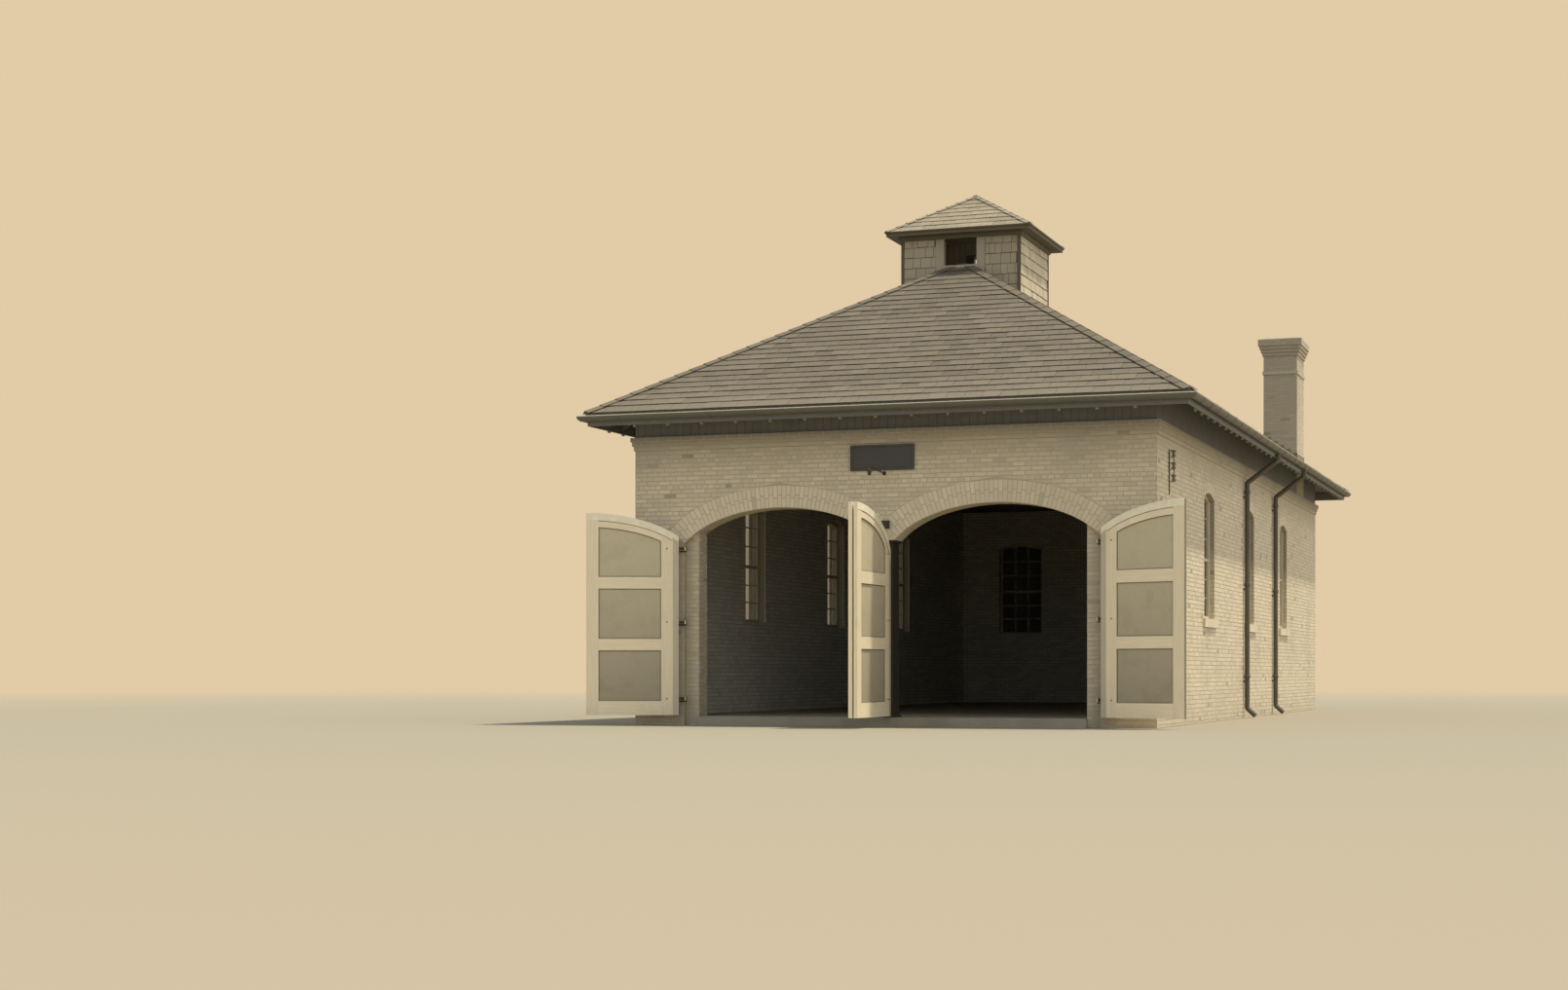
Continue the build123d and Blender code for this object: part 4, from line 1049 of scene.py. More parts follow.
class FIREHOUSE_OT_brickwork(bpy.types.Operator):
    """Lays the bricks of the four walls, with their corbelled courses and window reveals"""

    bl_idname = "firehouse.brickwork"
    bl_label = "Brickwork"

    def execute(self, context):
        use = chosen("brickwork")
        for side, (plane, half, shift) in WALLS.items():
            windows = WINDOWS.get(side, ())
            holes = [window_hole(centre) for centre in windows]
            if side == "front":
                holes = [doorway_hole, arch_hole(-1), arch_hole(1)]
            blocks = []
            for low, high in course_lines(0.0, WALL_TOP, use.course, (SPRING,)):
                number = round((WALL_TOP - high) / use.course)
                out = max(0, CORBELS - number) * CORBEL_STEP
                end = half + out + (use.proud if side in ("front", "rear") else 0.0) + use.joint / 2
                header = number % use.header_every == use.header_every - 1
                length = use.length / 2 if header else use.length
                offset = shift + (use.length / 4 if header else use.length / 2 * (number % 2))
                for stretch in runs(lambda v: -end, lambda v: end, holes, low, high):
                    blocks += bricks(use, plane, stretch, low, high, length, offset, out)
            for centre in windows:
                blocks += self.reveals(use, plane, centre)
            lay(f"bricks_{side}", blocks, "brick", "brickwork", uneven=0.35, seed=len(side))
        return {"FINISHED"}

    def reveals(self, use, plane, centre):
        """Bricks in the sides of a window opening, in front of the sashes."""
        made = []
        gap = use.joint / 2
        for low, high in course_lines(SILL_TOP, WALL_TOP, use.course):
            if high > HEAD_SPRING + 0.03:
                break
            for hand in (-1, 1):
                s = centre + hand * (WINDOW_HALF + use.proud)
                quad = rect(-SASH_SET, 0.0, low + gap, high - gap)
                spots = [plane @ Vector((s, t, out)) for out, t in quad]
                made.append(corners(*spots, plane.to_3x3() @ Vector((-hand * 2 * use.proud, 0, 0))))
        return made


class FIREHOUSE_OT_arches(bpy.types.Operator):
    """Sets the brick rings over the doorways and windows, and the bricks of the doorways' sides"""

    bl_idname = "firehouse.arches"
    bl_label = "Arches"

    def execute(self, context):
        use = chosen("brickwork")
        plane = WALLS["front"][0]
        start = math.acos((DOOR_SIDE - ARCH_X) / ARCH_SPAN)
        blocks = []
        sizes = (ARCH_SPAN, ARCH_RISE, RING_DEPTH, start, RING_BRICK, DOOR_SOFFIT, 0.0)
        for hand in (-1, 1):
            blocks += ring_blocks(use, plane, (hand * ARCH_X, ARCH_Z), *sizes)
        seat = ARCH_X + ARCH_SPAN * math.cos(math.pi - start)
        peak = SPRING + seat * 0.86
        quad = ((-seat, SPRING), (seat, SPRING), (0.002, peak), (-0.002, peak))
        blocks.append(block(plane, quad, -use.proud, 2 * use.proud))
        lay("arch_bricks", blocks, "arch", "arch_brick", seed=21)
        start = math.acos(WINDOW_HALF / HEAD_RADIUS)
        sizes = (HEAD_RADIUS, HEAD_RADIUS, HEAD_RING, start, HEAD_BRICK, SASH_SET)
        blocks = []
        for side, centres in WINDOWS.items():
            for centre in centres:
                blocks += ring_blocks(use, WALLS[side][0], (centre, HEAD_CENTRE), *sizes)
        lay("window_heads", blocks, "arch", "arch_brick", seed=22)
        lay("doorway_bricks", self.doorway(use), "brick", "brickwork", seed=23)
        return {"FINISHED"}

    def doorway(self, use):
        """Bricks on the nibs that the doors close against and on the sides of the doorways."""
        def arch_limit(height):
            share = min(1.0, max(0.0, (height - ARCH_Z) / ARCH_RISE))
            return min(DOOR_SIDE, ARCH_X + ARCH_SPAN * math.sqrt(1 - share ** 2))

        made = []
        top = ARCH_Z + ARCH_RISE * math.sqrt(1 - ((JAMB_SIDE - ARCH_X) / ARCH_SPAN) ** 2)
        for hand in (-1, 1):
            nib = face_plane((0, JAMB_FACE, 0), (1, 0, 0))
            side = face_plane((hand * JAMB_SIDE, 0, 0), (0, -hand, 0))
            outer = face_plane((hand * DOOR_SIDE, 0, 0), (0, -hand, 0))
            for plane, places, foot, limit in (
                (nib, (hand * JAMB_SIDE, hand * DOOR_SIDE), 0.0, top),
                (side, (-hand * JAMB_FACE, -hand * JAMB_BACK), FLOOR_TOP, top),
                (outer, (-hand * FRONT, -hand * JAMB_FACE), 0.0, SPRING),
            ):
                left, right = sorted(places)
                for low, high in course_lines(0.0, WALL_TOP, use.course):
                    if high < foot + 0.03 or low > limit - 0.02:
                        continue
                    low, high = max(low, foot), min(high, limit)
                    number = round((WALL_TOP - high) / use.course)
                    ends = (left, left, right, right)
                    if plane is nib:
                        near, far = arch_limit(low), arch_limit(high)
                        ends = (left, left, near, far) if hand > 0 else (-near, -far, right, right)
                    offset = left + use.length / 2 * (number % 2)
                    made += bricks(use, plane, ends, low, high, use.length, offset)
        return made


# Roofs


def roof_planes():
    """Each slope of the main roof: its plane at the eaves, its length, and its half width at foot and top."""
    rise = RIDGE_TOP - EDGE_TOP
    run = EDGE_Y - RIDGE_Y
    planes = {}
    for side, x, y in (("front", 0, -1), ("rear", 0, 1), ("right", 1, 0), ("left", -1, 0)):
        plane = face_plane((x * EDGE_X, y * EDGE_Y, EDGE_TOP), (-y, x, 0), (-x * EDGE_X, -y * run, rise))
        length = math.hypot(EDGE_X if x else run, rise)
        planes[side] = plane, length, EDGE_Y if x else EDGE_X, RIDGE_Y if x else 0.0
    return planes


def roof_at(x):
    """Height of the right-hand slope at that distance from the middle."""
    return EDGE_TOP + (EDGE_X - x) * SIDE_SLOPE


def stack_hole(height, middle):
    """What the chimney takes from the slates of the right-hand slope."""
    slope = math.hypot(1, SIDE_SLOPE)
    return STACK_Y if (EDGE_X - STACK_X[1]) * slope < middle < (EDGE_X - STACK_X[0]) * slope else None


def in_cupola(point):
    return abs(point.x) < CUPOLA[1].x and CUPOLA[0].y < point.y < CUPOLA[1].y


def cap_blocks(low, high, planes, width=0.13, each=0.3, lift=0.02, thick=0.009, skip=None):
    """Lapped caps along a hip or ridge, on both slopes beside it."""
    made = []
    low, high = Vector(low), Vector(high)
    length = (high - low).length
    way = (high - low).normalized()
    for plane in planes:
        out = plane.to_3x3() @ Vector((0, 0, 1))
        across = out.cross(way)
        middle = plane.translation + plane.to_3x3() @ Vector((0, 1, 0)) * 0.5
        if (middle - low).dot(across) < 0:
            across = -across
        tail, head = out * (lift + 0.012), out * lift
        for start, end in spans(0, length, max(1, round(length / each))):
            a, b = low + way * start, low + way * (end + 0.03)
            if skip and skip((a + b) / 2):
                continue
            near, far = across * -0.006, across * width
            quad = (a + near + tail, b + near + head, b + far + head, a + far + tail)
            made.append(corners(*quad, out * thick))
    return made


class FIREHOUSE_OT_roofing(bpy.types.Operator):
    """Lays the slates of the main roof and the caps of its hips and ridge"""

    bl_idname = "firehouse.roofing"
    bl_label = "Slates"

    def execute(self, context):
        use = chosen("roof")
        planes = roof_planes()
        chance = random.Random(11)
        for side, (plane, length, foot_half, top_half) in planes.items():

            def half(v):
                return foot_half + (top_half - foot_half) * min(1.0, max(0.0, v / length))

            holes = [stack_hole] if side == "right" else []
            blocks = []
            for row, (low, high) in enumerate(spans(0, length, round(length / use.exposure))):
                low -= 0 if row else EAVES_LAP
                slate = (use.width, use.width / 2 * (row % 2), SLATE_GAP, SLATE_LIFT, use.thickness, 0.012)
                for ends in runs(lambda v: -half(v), half, holes, low, high):
                    blocks += fill_course(plane, ends, low, high, *slate, 0.0, chance)
            blocks = [b for b in blocks if not in_cupola((b[0] + b[1] + b[2] + b[3]) / 4)]
            lay(f"slates_{side}", blocks, "slate", "roof_slate", eased=0.002, uneven=0.7, seed=31)
        blocks = []
        for x, y in CORNER_SIGNS:
            sides = [planes["right" if x > 0 else "left"][0], planes["rear" if y > 0 else "front"][0]]
            foot, top = (x * EDGE_X, y * EDGE_Y, EDGE_TOP), (0, y * RIDGE_Y, RIDGE_TOP)
            blocks += cap_blocks(foot, top, sides, skip=in_cupola)
        sides = [planes["right"][0], planes["left"][0]]
        blocks += cap_blocks((0, CUPOLA[1].y, RIDGE_TOP), (0, RIDGE_Y, RIDGE_TOP), sides)
        lay("hip_caps", blocks, "slate_caps", "roof_caps", seed=33, replaced=("ridge_and_hip_caps",))
        return {"FINISHED"}


class FIREHOUSE_OT_gutters(bpy.types.Operator):
    """Runs the fascia boards and half-round gutters round the eaves, with their brackets"""

    bl_idname = "firehouse.gutters"
    bl_label = "Gutters"

    def execute(self, context):
        half = (HALF_WIDTH, REAR)
        moulding("fascia", (0, 0), half, rect(*FASCIA), "rafter", "eaves_wood")
        middle, top, wide, deep = GUTTER
        outer = arc(*GUTTER, math.pi / 10, range(11))
        inner = [(middle + (o - middle) * 0.9, top - (top - z) * 0.92) for o, z in reversed(outer)]
        names = [f"gutter_{side}" for side in WALLS]
        moulding("gutters", (0, 0), half, outer + inner, "gutter", "gutter_paint", names)
        # The rolled bead along the front of the gutter, in its own lighter colour: a painted highlight.
        bead = arc(middle + wide - 0.012, top + 0.004, -0.012, -0.012, math.pi / 4, range(8))
        moulding("gutter_lip", (0, 0), half, bead, "lip", "gutter_paint")
        blocks = []
        for plane, wall_half, shift in WALLS.values():
            count = int(2 * wall_half / BRACKET_PITCH)
            for index in range(count + 1):
                blocks += self.bracket(plane, -wall_half + 2 * wall_half * index / count)
        lay("gutter_brackets", blocks, "gutter", "gutter_paint", eased=0.001)
        # Light blocks on the rafters' cut ends: a painted highlight.
        ends = []
        for plane, wall_half, shift in WALLS.values():
            count = int((2 * wall_half - 0.24) // RAFTER_PITCH) + 1
            for index in range(count):
                s = RAFTER_PITCH * (index - (count - 1) / 2)
                ends.append(box_block(plane, s - 0.025, s + 0.025, 5.05, 5.095, 0.56, 0.045))
        lay("rafter_ends", ends, "tail", "rafter_wood", eased=0.008, uneven=0.1)
        return {"FINISHED"}

    def bracket(self, plane, s):
        """A strap under the gutter and a tie over it."""
        middle, top, wide, deep = GUTTER
        turn = plane.to_3x3()
        ways = arc(middle, top, wide + 0.002, deep + 0.002, math.pi / 6, range(2, 7))
        made = []
        for (o1, z1), (o2, z2) in zip(ways, ways[1:]):
            way = Vector((z1 - z2, o2 - o1)).normalized()
            out = turn @ Vector((0, -abs(way.y), abs(way.x))) * 0.006
            left, right = s - BRACKET_HALF, s + BRACKET_HALF
            quad = ((left, z1, o1), (right, z1, o1), (right, z2, o2), (left, z2, o2))
            made.append(corners(*[plane @ Vector(place) for place in quad], out))
        origin = plane @ Vector((s, top + 0.002, FASCIA[1]))
        tie = face_plane(origin, turn @ Vector((1, 0, 0)), turn @ Vector((0, 0, 1)))
        made.append(box_block(tie, -BRACKET_HALF, BRACKET_HALF, 0.0, 0.14, -0.004, 0.006))
        return made


class FIREHOUSE_OT_cupola(bpy.types.Operator):
    """Shingles the walls and roof of the cupola, with its corner boards and eaves"""

    bl_idname = "firehouse.cupola"
    bl_label = "Cupola"

    def execute(self, context):
        use = chosen("roof")
        chance = random.Random(5)
        half = CUPOLA[1].x
        foot = RIDGE_TOP - half * SIDE_SLOPE
        soffit = CUPOLA[1].z
        board = half - CUPOLA_CORNER

        def near_edge(height):
            return min(half, max(CUPOLA_FRAME_HALF, (RIDGE_TOP - height) / SIDE_SLOPE))

        blocks = []
        boards = []
        for x, y in ((0, -1), (0, 1), (1, 0), (-1, 0)):
            plane = face_plane((x * half, (CUPOLA[0].y, CUPOLA_Y, CUPOLA[1].y)[y + 1], 0), (-y, x, 0))
            for low, high in spans(foot, soffit, round((soffit - foot) / use.shingle_course)):
                a, b = near_edge(low), near_edge(high)
                stretches = [(-board, -board, board, board)]
                if y:
                    stretches = [(-board, -board, -a, -b), (a, b, board, board)]
                for ends in stretches:
                    if ends[2] - ends[0] < 0.02 and ends[3] - ends[1] < 0.02:
                        continue
                    shingle = (use.shingle_width, chance.uniform(0, 0.2), 0.006, SLATE_LIFT, SHINGLE, 0.008)
                    blocks += fill_course(plane, ends, low, high, *shingle, 0.0001, chance)
            for hand in (-1, 1):
                edges = hand * (half - 0.035), hand * (half + 0.02)
                boards.append(box_block(plane, *edges, foot + 0.01, soffit, 0.0, 0.024))
        lay("cupola_shingles", blocks, "shingle", "cupola_shingle", eased=0.002, uneven=0.6, seed=41)
        lay("cupola_corner_boards", boards, "trim", "cupola_trim", uneven=0)
        self.roof(chance)
        return {"FINISHED"}

    def roof(self, chance):
        """Slates on the four slopes of the cupola, with caps on its hips and a moulding under its eaves."""
        half = CUPOLA_ROOF[1].x
        soffit = CUPOLA_ROOF[0].z
        apex = CUPOLA_ROOF[1].z
        edge = soffit + CUPOLA_EAVES
        rise = apex - edge
        length = math.hypot(half, rise)
        blocks = []
        planes = {}
        for x, y in ((0, -1), (1, 0), (0, 1), (-1, 0)):
            origin = (x * half, CUPOLA_Y + y * half, edge)
            plane = planes[x, y] = face_plane(origin, (-y, x, 0), (-x * half, -y * half, rise))
            for row, (low, high) in enumerate(spans(0, length, 8)):
                low -= 0 if row else 0.02
                a, b = (half * (1 - min(1, max(0, v / length))) for v in (low, high))
                slate = (0.22, 0.11 * (row % 2), SLATE_GAP, SLATE_LIFT, SHINGLE, 0.01)
                blocks += fill_course(plane, (-a, -b, a, b), low, high, *slate, 0.0, chance)
        lay("cupola_slates", blocks, "cupola_slate", "cupola_roofing", eased=0.002, uneven=0.6, seed=42)
        blocks = []
        for x, y in CORNER_SIGNS:
            foot, sides = (x * half, CUPOLA_Y + y * half, edge), (planes[x, 0], planes[0, y])
            blocks += cap_blocks(foot, (0, CUPOLA_Y, apex), sides, 0.07, 0.22, 0.016, 0.006)
        lay("cupola_hip_caps", blocks, "cupola_slate", "cupola_roofing", seed=43)
        trim = ((0.0, -0.03), (0.012, -0.03), (0.03, -0.008), (0.03, 0.004), (0.0, 0.004))
        bed = ((0.0, -0.07), (0.02, -0.07), (0.05, -0.02), (0.05, 0.0), (0.0, 0.0))
        for name, reach, height, profile in (
            ("cupola_eave_trim", half, edge, trim), ("cupola_bed_mould", CUPOLA[1].x + 0.02, soffit, bed),
        ):
            profile = [(out, height + up) for out, up in profile]
            moulding(name, (0, CUPOLA_Y), (reach, reach), profile, "trim", "cupola_trim")


class FIREHOUSE_OT_chimney(bpy.types.Operator):
    """Lays the chimney's bricks, its corbelled cap and the flashings where it meets the roof"""

    bl_idname = "firehouse.chimney"
    bl_label = "Chimney"

    def execute(self, context):
        use = chosen("brickwork")
        middle = [sum(ends) / 2 for ends in (STACK_X, STACK_Y)]
        half = [(ends[1] - ends[0]) / 2 for ends in (STACK_X, STACK_Y)]
        blocks = []
        lead = []
        for x, y in ((1, 0), (-1, 0), (0, 1), (0, -1)):
            reach, wide = half if x else reversed(half)
            base = roof_at(STACK_X[0] if x < 0 else STACK_X[1])
            for low, high in course_lines(base + 0.02, STACK_TOP, use.course):
                out = 0.0
                if low > BAND_FOOT and high < BAND_FOOT + 0.1:
                    out = BAND_OUT
                if low > CAP_FOOT:
                    out = CAP_STEP * min(4, int((low + 0.005 - CAP_FOOT) / use.course) + 1)
                face = (middle[0] + x * (reach + out), middle[1] + y * (reach + out), 0)
                plane = face_plane(face, (-y, x, 0))
                end = wide + out + (use.proud if y else 0.0) + use.joint / 2
                # The faces to the front and back run across the slope, so the roof cuts their uphill end
                cuts = [self.cut(height, middle[0], half[0], end) if y else -end for height in (low, high)]
                ends = (-end, -end, -cuts[0], -cuts[1]) if y > 0 else (*cuts, end, end)
                number = round((STACK_TOP - high) / use.course)
                blocks += bricks(use, plane, ends, low, high, use.length, use.length / 2 * (number % 2))
            lead += self.flashing(x, y, middle, half)
        lay("chimney_bricks", blocks, "brick", "chimney_brick", seed=51)
        lay("chimney_flashing", lead, "lead", "roof_caps", eased=0.001, uneven=0.1)
        wash = ((-0.005, -0.02), (0.085, -0.02), (0.085, 0.0), (0.0, 0.03), (-0.12, 0.03), (-0.12, -0.02))
        wash = [(out, STACK_TOP + up) for out, up in wash]
        moulding("chimney_wash", middle, half, wash, "concrete", "chimney_brick")
        return {"FINISHED"}

    def cut(self, height, middle, half, end):
        """How far from the middle of the stack the roof reaches at a height, downhill positive."""
        x = EDGE_X - (height - EDGE_TOP) / SIDE_SLOPE
        return min(end, max(-end, x - middle)) if x > middle - half else -end

    def flashing(self, x, y, middle, half):
        """Stepped flashing up the two raked sides, and aprons above and below the stack."""
        if x:
            edge = middle[0] + x * half[0]
            plane = face_plane((edge, middle[1], roof_at(edge)), (-y, x, 0))
            return [box_block(plane, -half[1] - 0.03, half[1] + 0.03, 0.0, 0.17, 0.004, 0.006)]
        plane = face_plane((middle[0], middle[1] + y * half[1], 0), (-y, 0, 0))
        made = []
        for a, b in spans(-half[0], half[0], 5):
            b += 0.015
            heights = roof_at(middle[0] + b), roof_at(middle[0] + a) + 0.1
            made.append(box_block(plane, -y * a, -y * b, *heights, 0.004, 0.006))
        return made


# Joinery


class FIREHOUSE_OT_windows(bpy.types.Operator):
    """Fits the glazing bars and stops of the sash windows"""

    bl_idname = "firehouse.windows"
    bl_label = "Windows"

    def execute(self, context):
        use = chosen("joinery")
        bar = use.bar / 2
        half = WINDOW_HALF - SASH_BORDER
        heights = (SILL_TOP + SASH_BORDER, *MEETING_RAIL, HEAD_SPRING + 0.04)
        blocks = []
        for side, centres in WINDOWS.items():
            plane = WALLS[side][0]
            for centre in centres:
                left, right = centre - half, centre + half
                for low, high in (heights[:2], heights[2:]):
                    for s, after in spans(left, right, use.panes_across)[1:]:
                        blocks.append(box_block(plane, s - bar, s + bar, low, high, -0.165, 0.04))
                    for t, after in spans(low, high, use.panes_up)[1:]:
                        blocks.append(box_block(plane, left, right, t - bar, t + bar, -0.163, 0.034))
                for hand in (-1, 1):
                    stop = [centre + hand * (WINDOW_HALF - inset) for inset in (0.006, 0.04)]
                    blocks.append(box_block(plane, *stop, SILL_TOP, HEAD_SPRING - 0.01, -0.1, 0.022))
        lay("glazing_bars", blocks, "sash", "window_wood", eased=0.006, shoulder=0.5, uneven=0.0)
        return {"FINISHED"}


class Leaf:
    """Places on one door leaf, as it stands open."""

    def __init__(self, pin, pointing, angle, sizes):
        self.start, self.end, self.middle, self.half_span, self.face, self.hinges = sizes
        self.along = leaf_way(pointing, angle)
        self.inward = self.along.cross(Vector((0, 0, 1))) * -pointing
        self.pin = Vector((*pin, 0))

    def spot(self, along, up, depth):
        """Place from the pin, up, and inward from the outer face."""
        return self.pin + self.along * along + Vector((0, 0, up)) + self.inward * (self.face + depth)

    def head(self, along, inset=0.0):
        """Height of the curved head, less an inset."""
        share = (along - self.middle) / (self.half_span - inset)
        return ARCH_Z + (LEAF_HEAD_RISE - inset) * math.sqrt(max(0.0, 1 - share ** 2))

    def band(self, a, b, low, top):
        """Four places under the curved head, between two insets from it."""
        return (a, self.head(a, low)), (b, self.head(b, low)), (b, self.head(b, top)), (a, self.head(a, top))

    def piece(self, quad, outer, thick, sunk=0.0):
        """A block on the outer or the inner face, or sunk below it, from four places on it."""
        depth, way = (sunk, -thick) if outer else (LEAF_THICKNESS - sunk, thick)
        return corners(*[self.spot(u, z, depth) for u, z in quad], self.inward * way)


class FIREHOUSE_OT_doors(bpy.types.Operator):
    """Fits the boards, beads, cover strips, straps, bolts and hinge sleeves of the four door leaves"""

    bl_idname = "firehouse.doors"
    bl_label = "Doors"

    def execute(self, context):
        use = chosen("joinery")
        for body, hung in LEAVES.items():
            leaf = Leaf(*hung)
            left, right = leaf.start + HINGE_STILE, leaf.end - MEETING_STILE
            stiles, edges, rails, beads, strips, bolts = ([] for part in range(6))
            for outer in (True, False):
                for foot, head in PANEL_ROWS:
                    beads += self.beads(leaf, left, right, foot, head, use.bead, outer)
                # The drip moulds go in with the beads, dark as painted shadow under the cover strip.
                self.strips(leaf, right, outer, strips, beads)
                # A dark strip on the free end of an outer leaf: painted shadow at its edge.
                if outer and leaf.face > 0:
                    tip = rect(0.0, LEAF_THICKNESS, LEAF_FOOT, leaf.head(leaf.end, 0.004))
                    spots = [leaf.spot(leaf.end, z, depth) for depth, z in tip]
                    beads.append(corners(*spots, leaf.along * BOARD))
                self.boards(leaf, left, right, outer, stiles, edges, rails)
                if outer:
                    bolts += self.straps(leaf)
            bolts += self.bolts(leaf, chosen("fittings").bolt)
            for part, blocks, finish, slot, eased, shoulder in (
                ("stiles", stiles, "door", "door_paint", 0.0012, 0.2),
                ("edge_boards", edges, "edge", "door_paint", 0.0012, 0.2),
                ("rails", rails, f"rail_{body}", "door_paint", 0.0, 0.2),
                ("beads", beads, "bead", "door_paint", 0.004, 0.3),
                ("strips", strips, "cover", "door_paint", 0.001, 0.65),
                ("bolts", bolts, "iron", "hinge_iron", 0.003, 0.65),
            ):
                lay(f"{body}_{part}", blocks, finish, slot, body, eased, shoulder, 0)
            r = 0.0212 if leaf.face > 0 else 0.0192
            half = ((0.0105, 0.0305), (r - 0.003, 0.0305), (r, 0.0275))
            sleeve = [(radius, -up) for radius, up in half] + list(reversed(half))
            eyes = [(leaf.pin + Vector((0, 0, height)), (0, 0, 1), sleeve) for height in leaf.hinges]
            turned(f"{body}_eyes", eyes, "iron", "hinge_iron", 24, body, True)
        return {"FINISHED"}

    def boards(self, leaf, left, right, outer, stiles, edges, rails):
        """Adds the faces of the stiles, of the board along the hinges and of the rails."""
        edge = leaf.start + EDGE_BOARD
        for a, b, made in ((leaf.start, edge, edges), (edge, left, stiles), (right, leaf.end, stiles)):
            quad = ((a, LEAF_FOOT), (b, LEAF_FOOT), (b, leaf.head(b, COVER)), (a, leaf.head(a, COVER)))
            made.append(leaf.piece(quad, outer, BOARD))
        lines = [LEAF_FOOT, *(z for row in PANEL_ROWS for z in row if z)]
        quads = [rect(left, right, foot, head) for foot, head in zip(lines[::2], lines[1::2])]
        quads += [leaf.band(a, b, TOP_RAIL, COVER) for a, b in spans(left, right, 8)]
        rails += [leaf.piece(quad, outer, BOARD) for quad in quads]

    def straps(self, leaf):
        """Hinge straps on the outer face, each with the plate that joins it to its sleeve."""
        made = []
        for height in leaf.hinges:
            foot, head = height - STRAP_HALF, height + STRAP_HALF
            quad = rect(leaf.start, leaf.start + STRAP_LENGTH, foot, head)
            made.append(leaf.piece(quad, True, STRAP_THICKNESS))
            low, high = (0.009, 0.036) if leaf.face > 0 else (-0.0135, 0.0135)
            quad = rect(0.014, leaf.start, foot, head)
            spots = [leaf.pin + leaf.along * u + Vector((0, 0, z)) + leaf.inward * low for u, z in quad]
            made.append(corners(*spots, leaf.inward * (high - low)))
        return made

    def bolts(self, leaf, size):
        """Bolt heads on the straps, and their ends on the inner face where nothing stands in the way."""
        made = []
        for height in leaf.hinges:
            for along in BOLT_PLACES:
                u = leaf.start + along
                quad = rect(u, u + size, height - size / 2, height + size / 2)
                made.append(leaf.piece(quad, True, 0.008, -0.008))
                if along > 0.15 or leaf.start < 0.1:
                    made.append(leaf.piece(quad, False, 0.005))
        return made

    def beads(self, leaf, left, right, foot, head, width, outer):
        """Beads round one panel, mitred at the corners; the upper panel's follow the curved head."""
        a, b, low = left + width, right - width, foot + width
        quads = [((left, foot), (right, foot), (b, low), (a, low))]
        if head:
            high = head - width
            quads += [
                ((a, high), (b, high), (right, head), (left, head)),
                ((left, foot), (a, low), (a, high), (left, head)),
                ((b, low), (right, foot), (right, head), (b, high)),
            ]
        else:
            inset = TOP_RAIL + width
            quads += [
                ((left, foot), (a, low), (a, leaf.head(a, inset)), (left, leaf.head(left, TOP_RAIL))),
                ((b, low), (right, foot), (right, leaf.head(right, TOP_RAIL)), (b, leaf.head(b, inset))),
            ]
            for (u0, u1), (v0, v1) in zip(spans(left, right, 10), spans(a, b, 10)):
                inner = (v0, leaf.head(v0, inset)), (v1, leaf.head(v1, inset))
                quads.append((*inner, (u1, leaf.head(u1, TOP_RAIL)), (u0, leaf.head(u0, TOP_RAIL))))
        return [leaf.piece(quad, outer, BEAD_THICKNESS, PANEL_SUNK) for quad in quads]

    def strips(self, leaf, right, outer, covers, drips):
        """Adds the cover board along the curved head, and its drip mould as far as the meeting stile."""
        start = leaf.start + (0.012 if outer else 0.11)
        for a, b in spans(start, leaf.end - 0.003, 15):
            covers.append(leaf.piece(leaf.band(a, b, *COVER_BAND), outer, 0.006))
            if b <= right + 0.02:
                drips.append(leaf.piece(leaf.band(a, b, *DRIP_BAND), outer, 0.008))


# Fittings


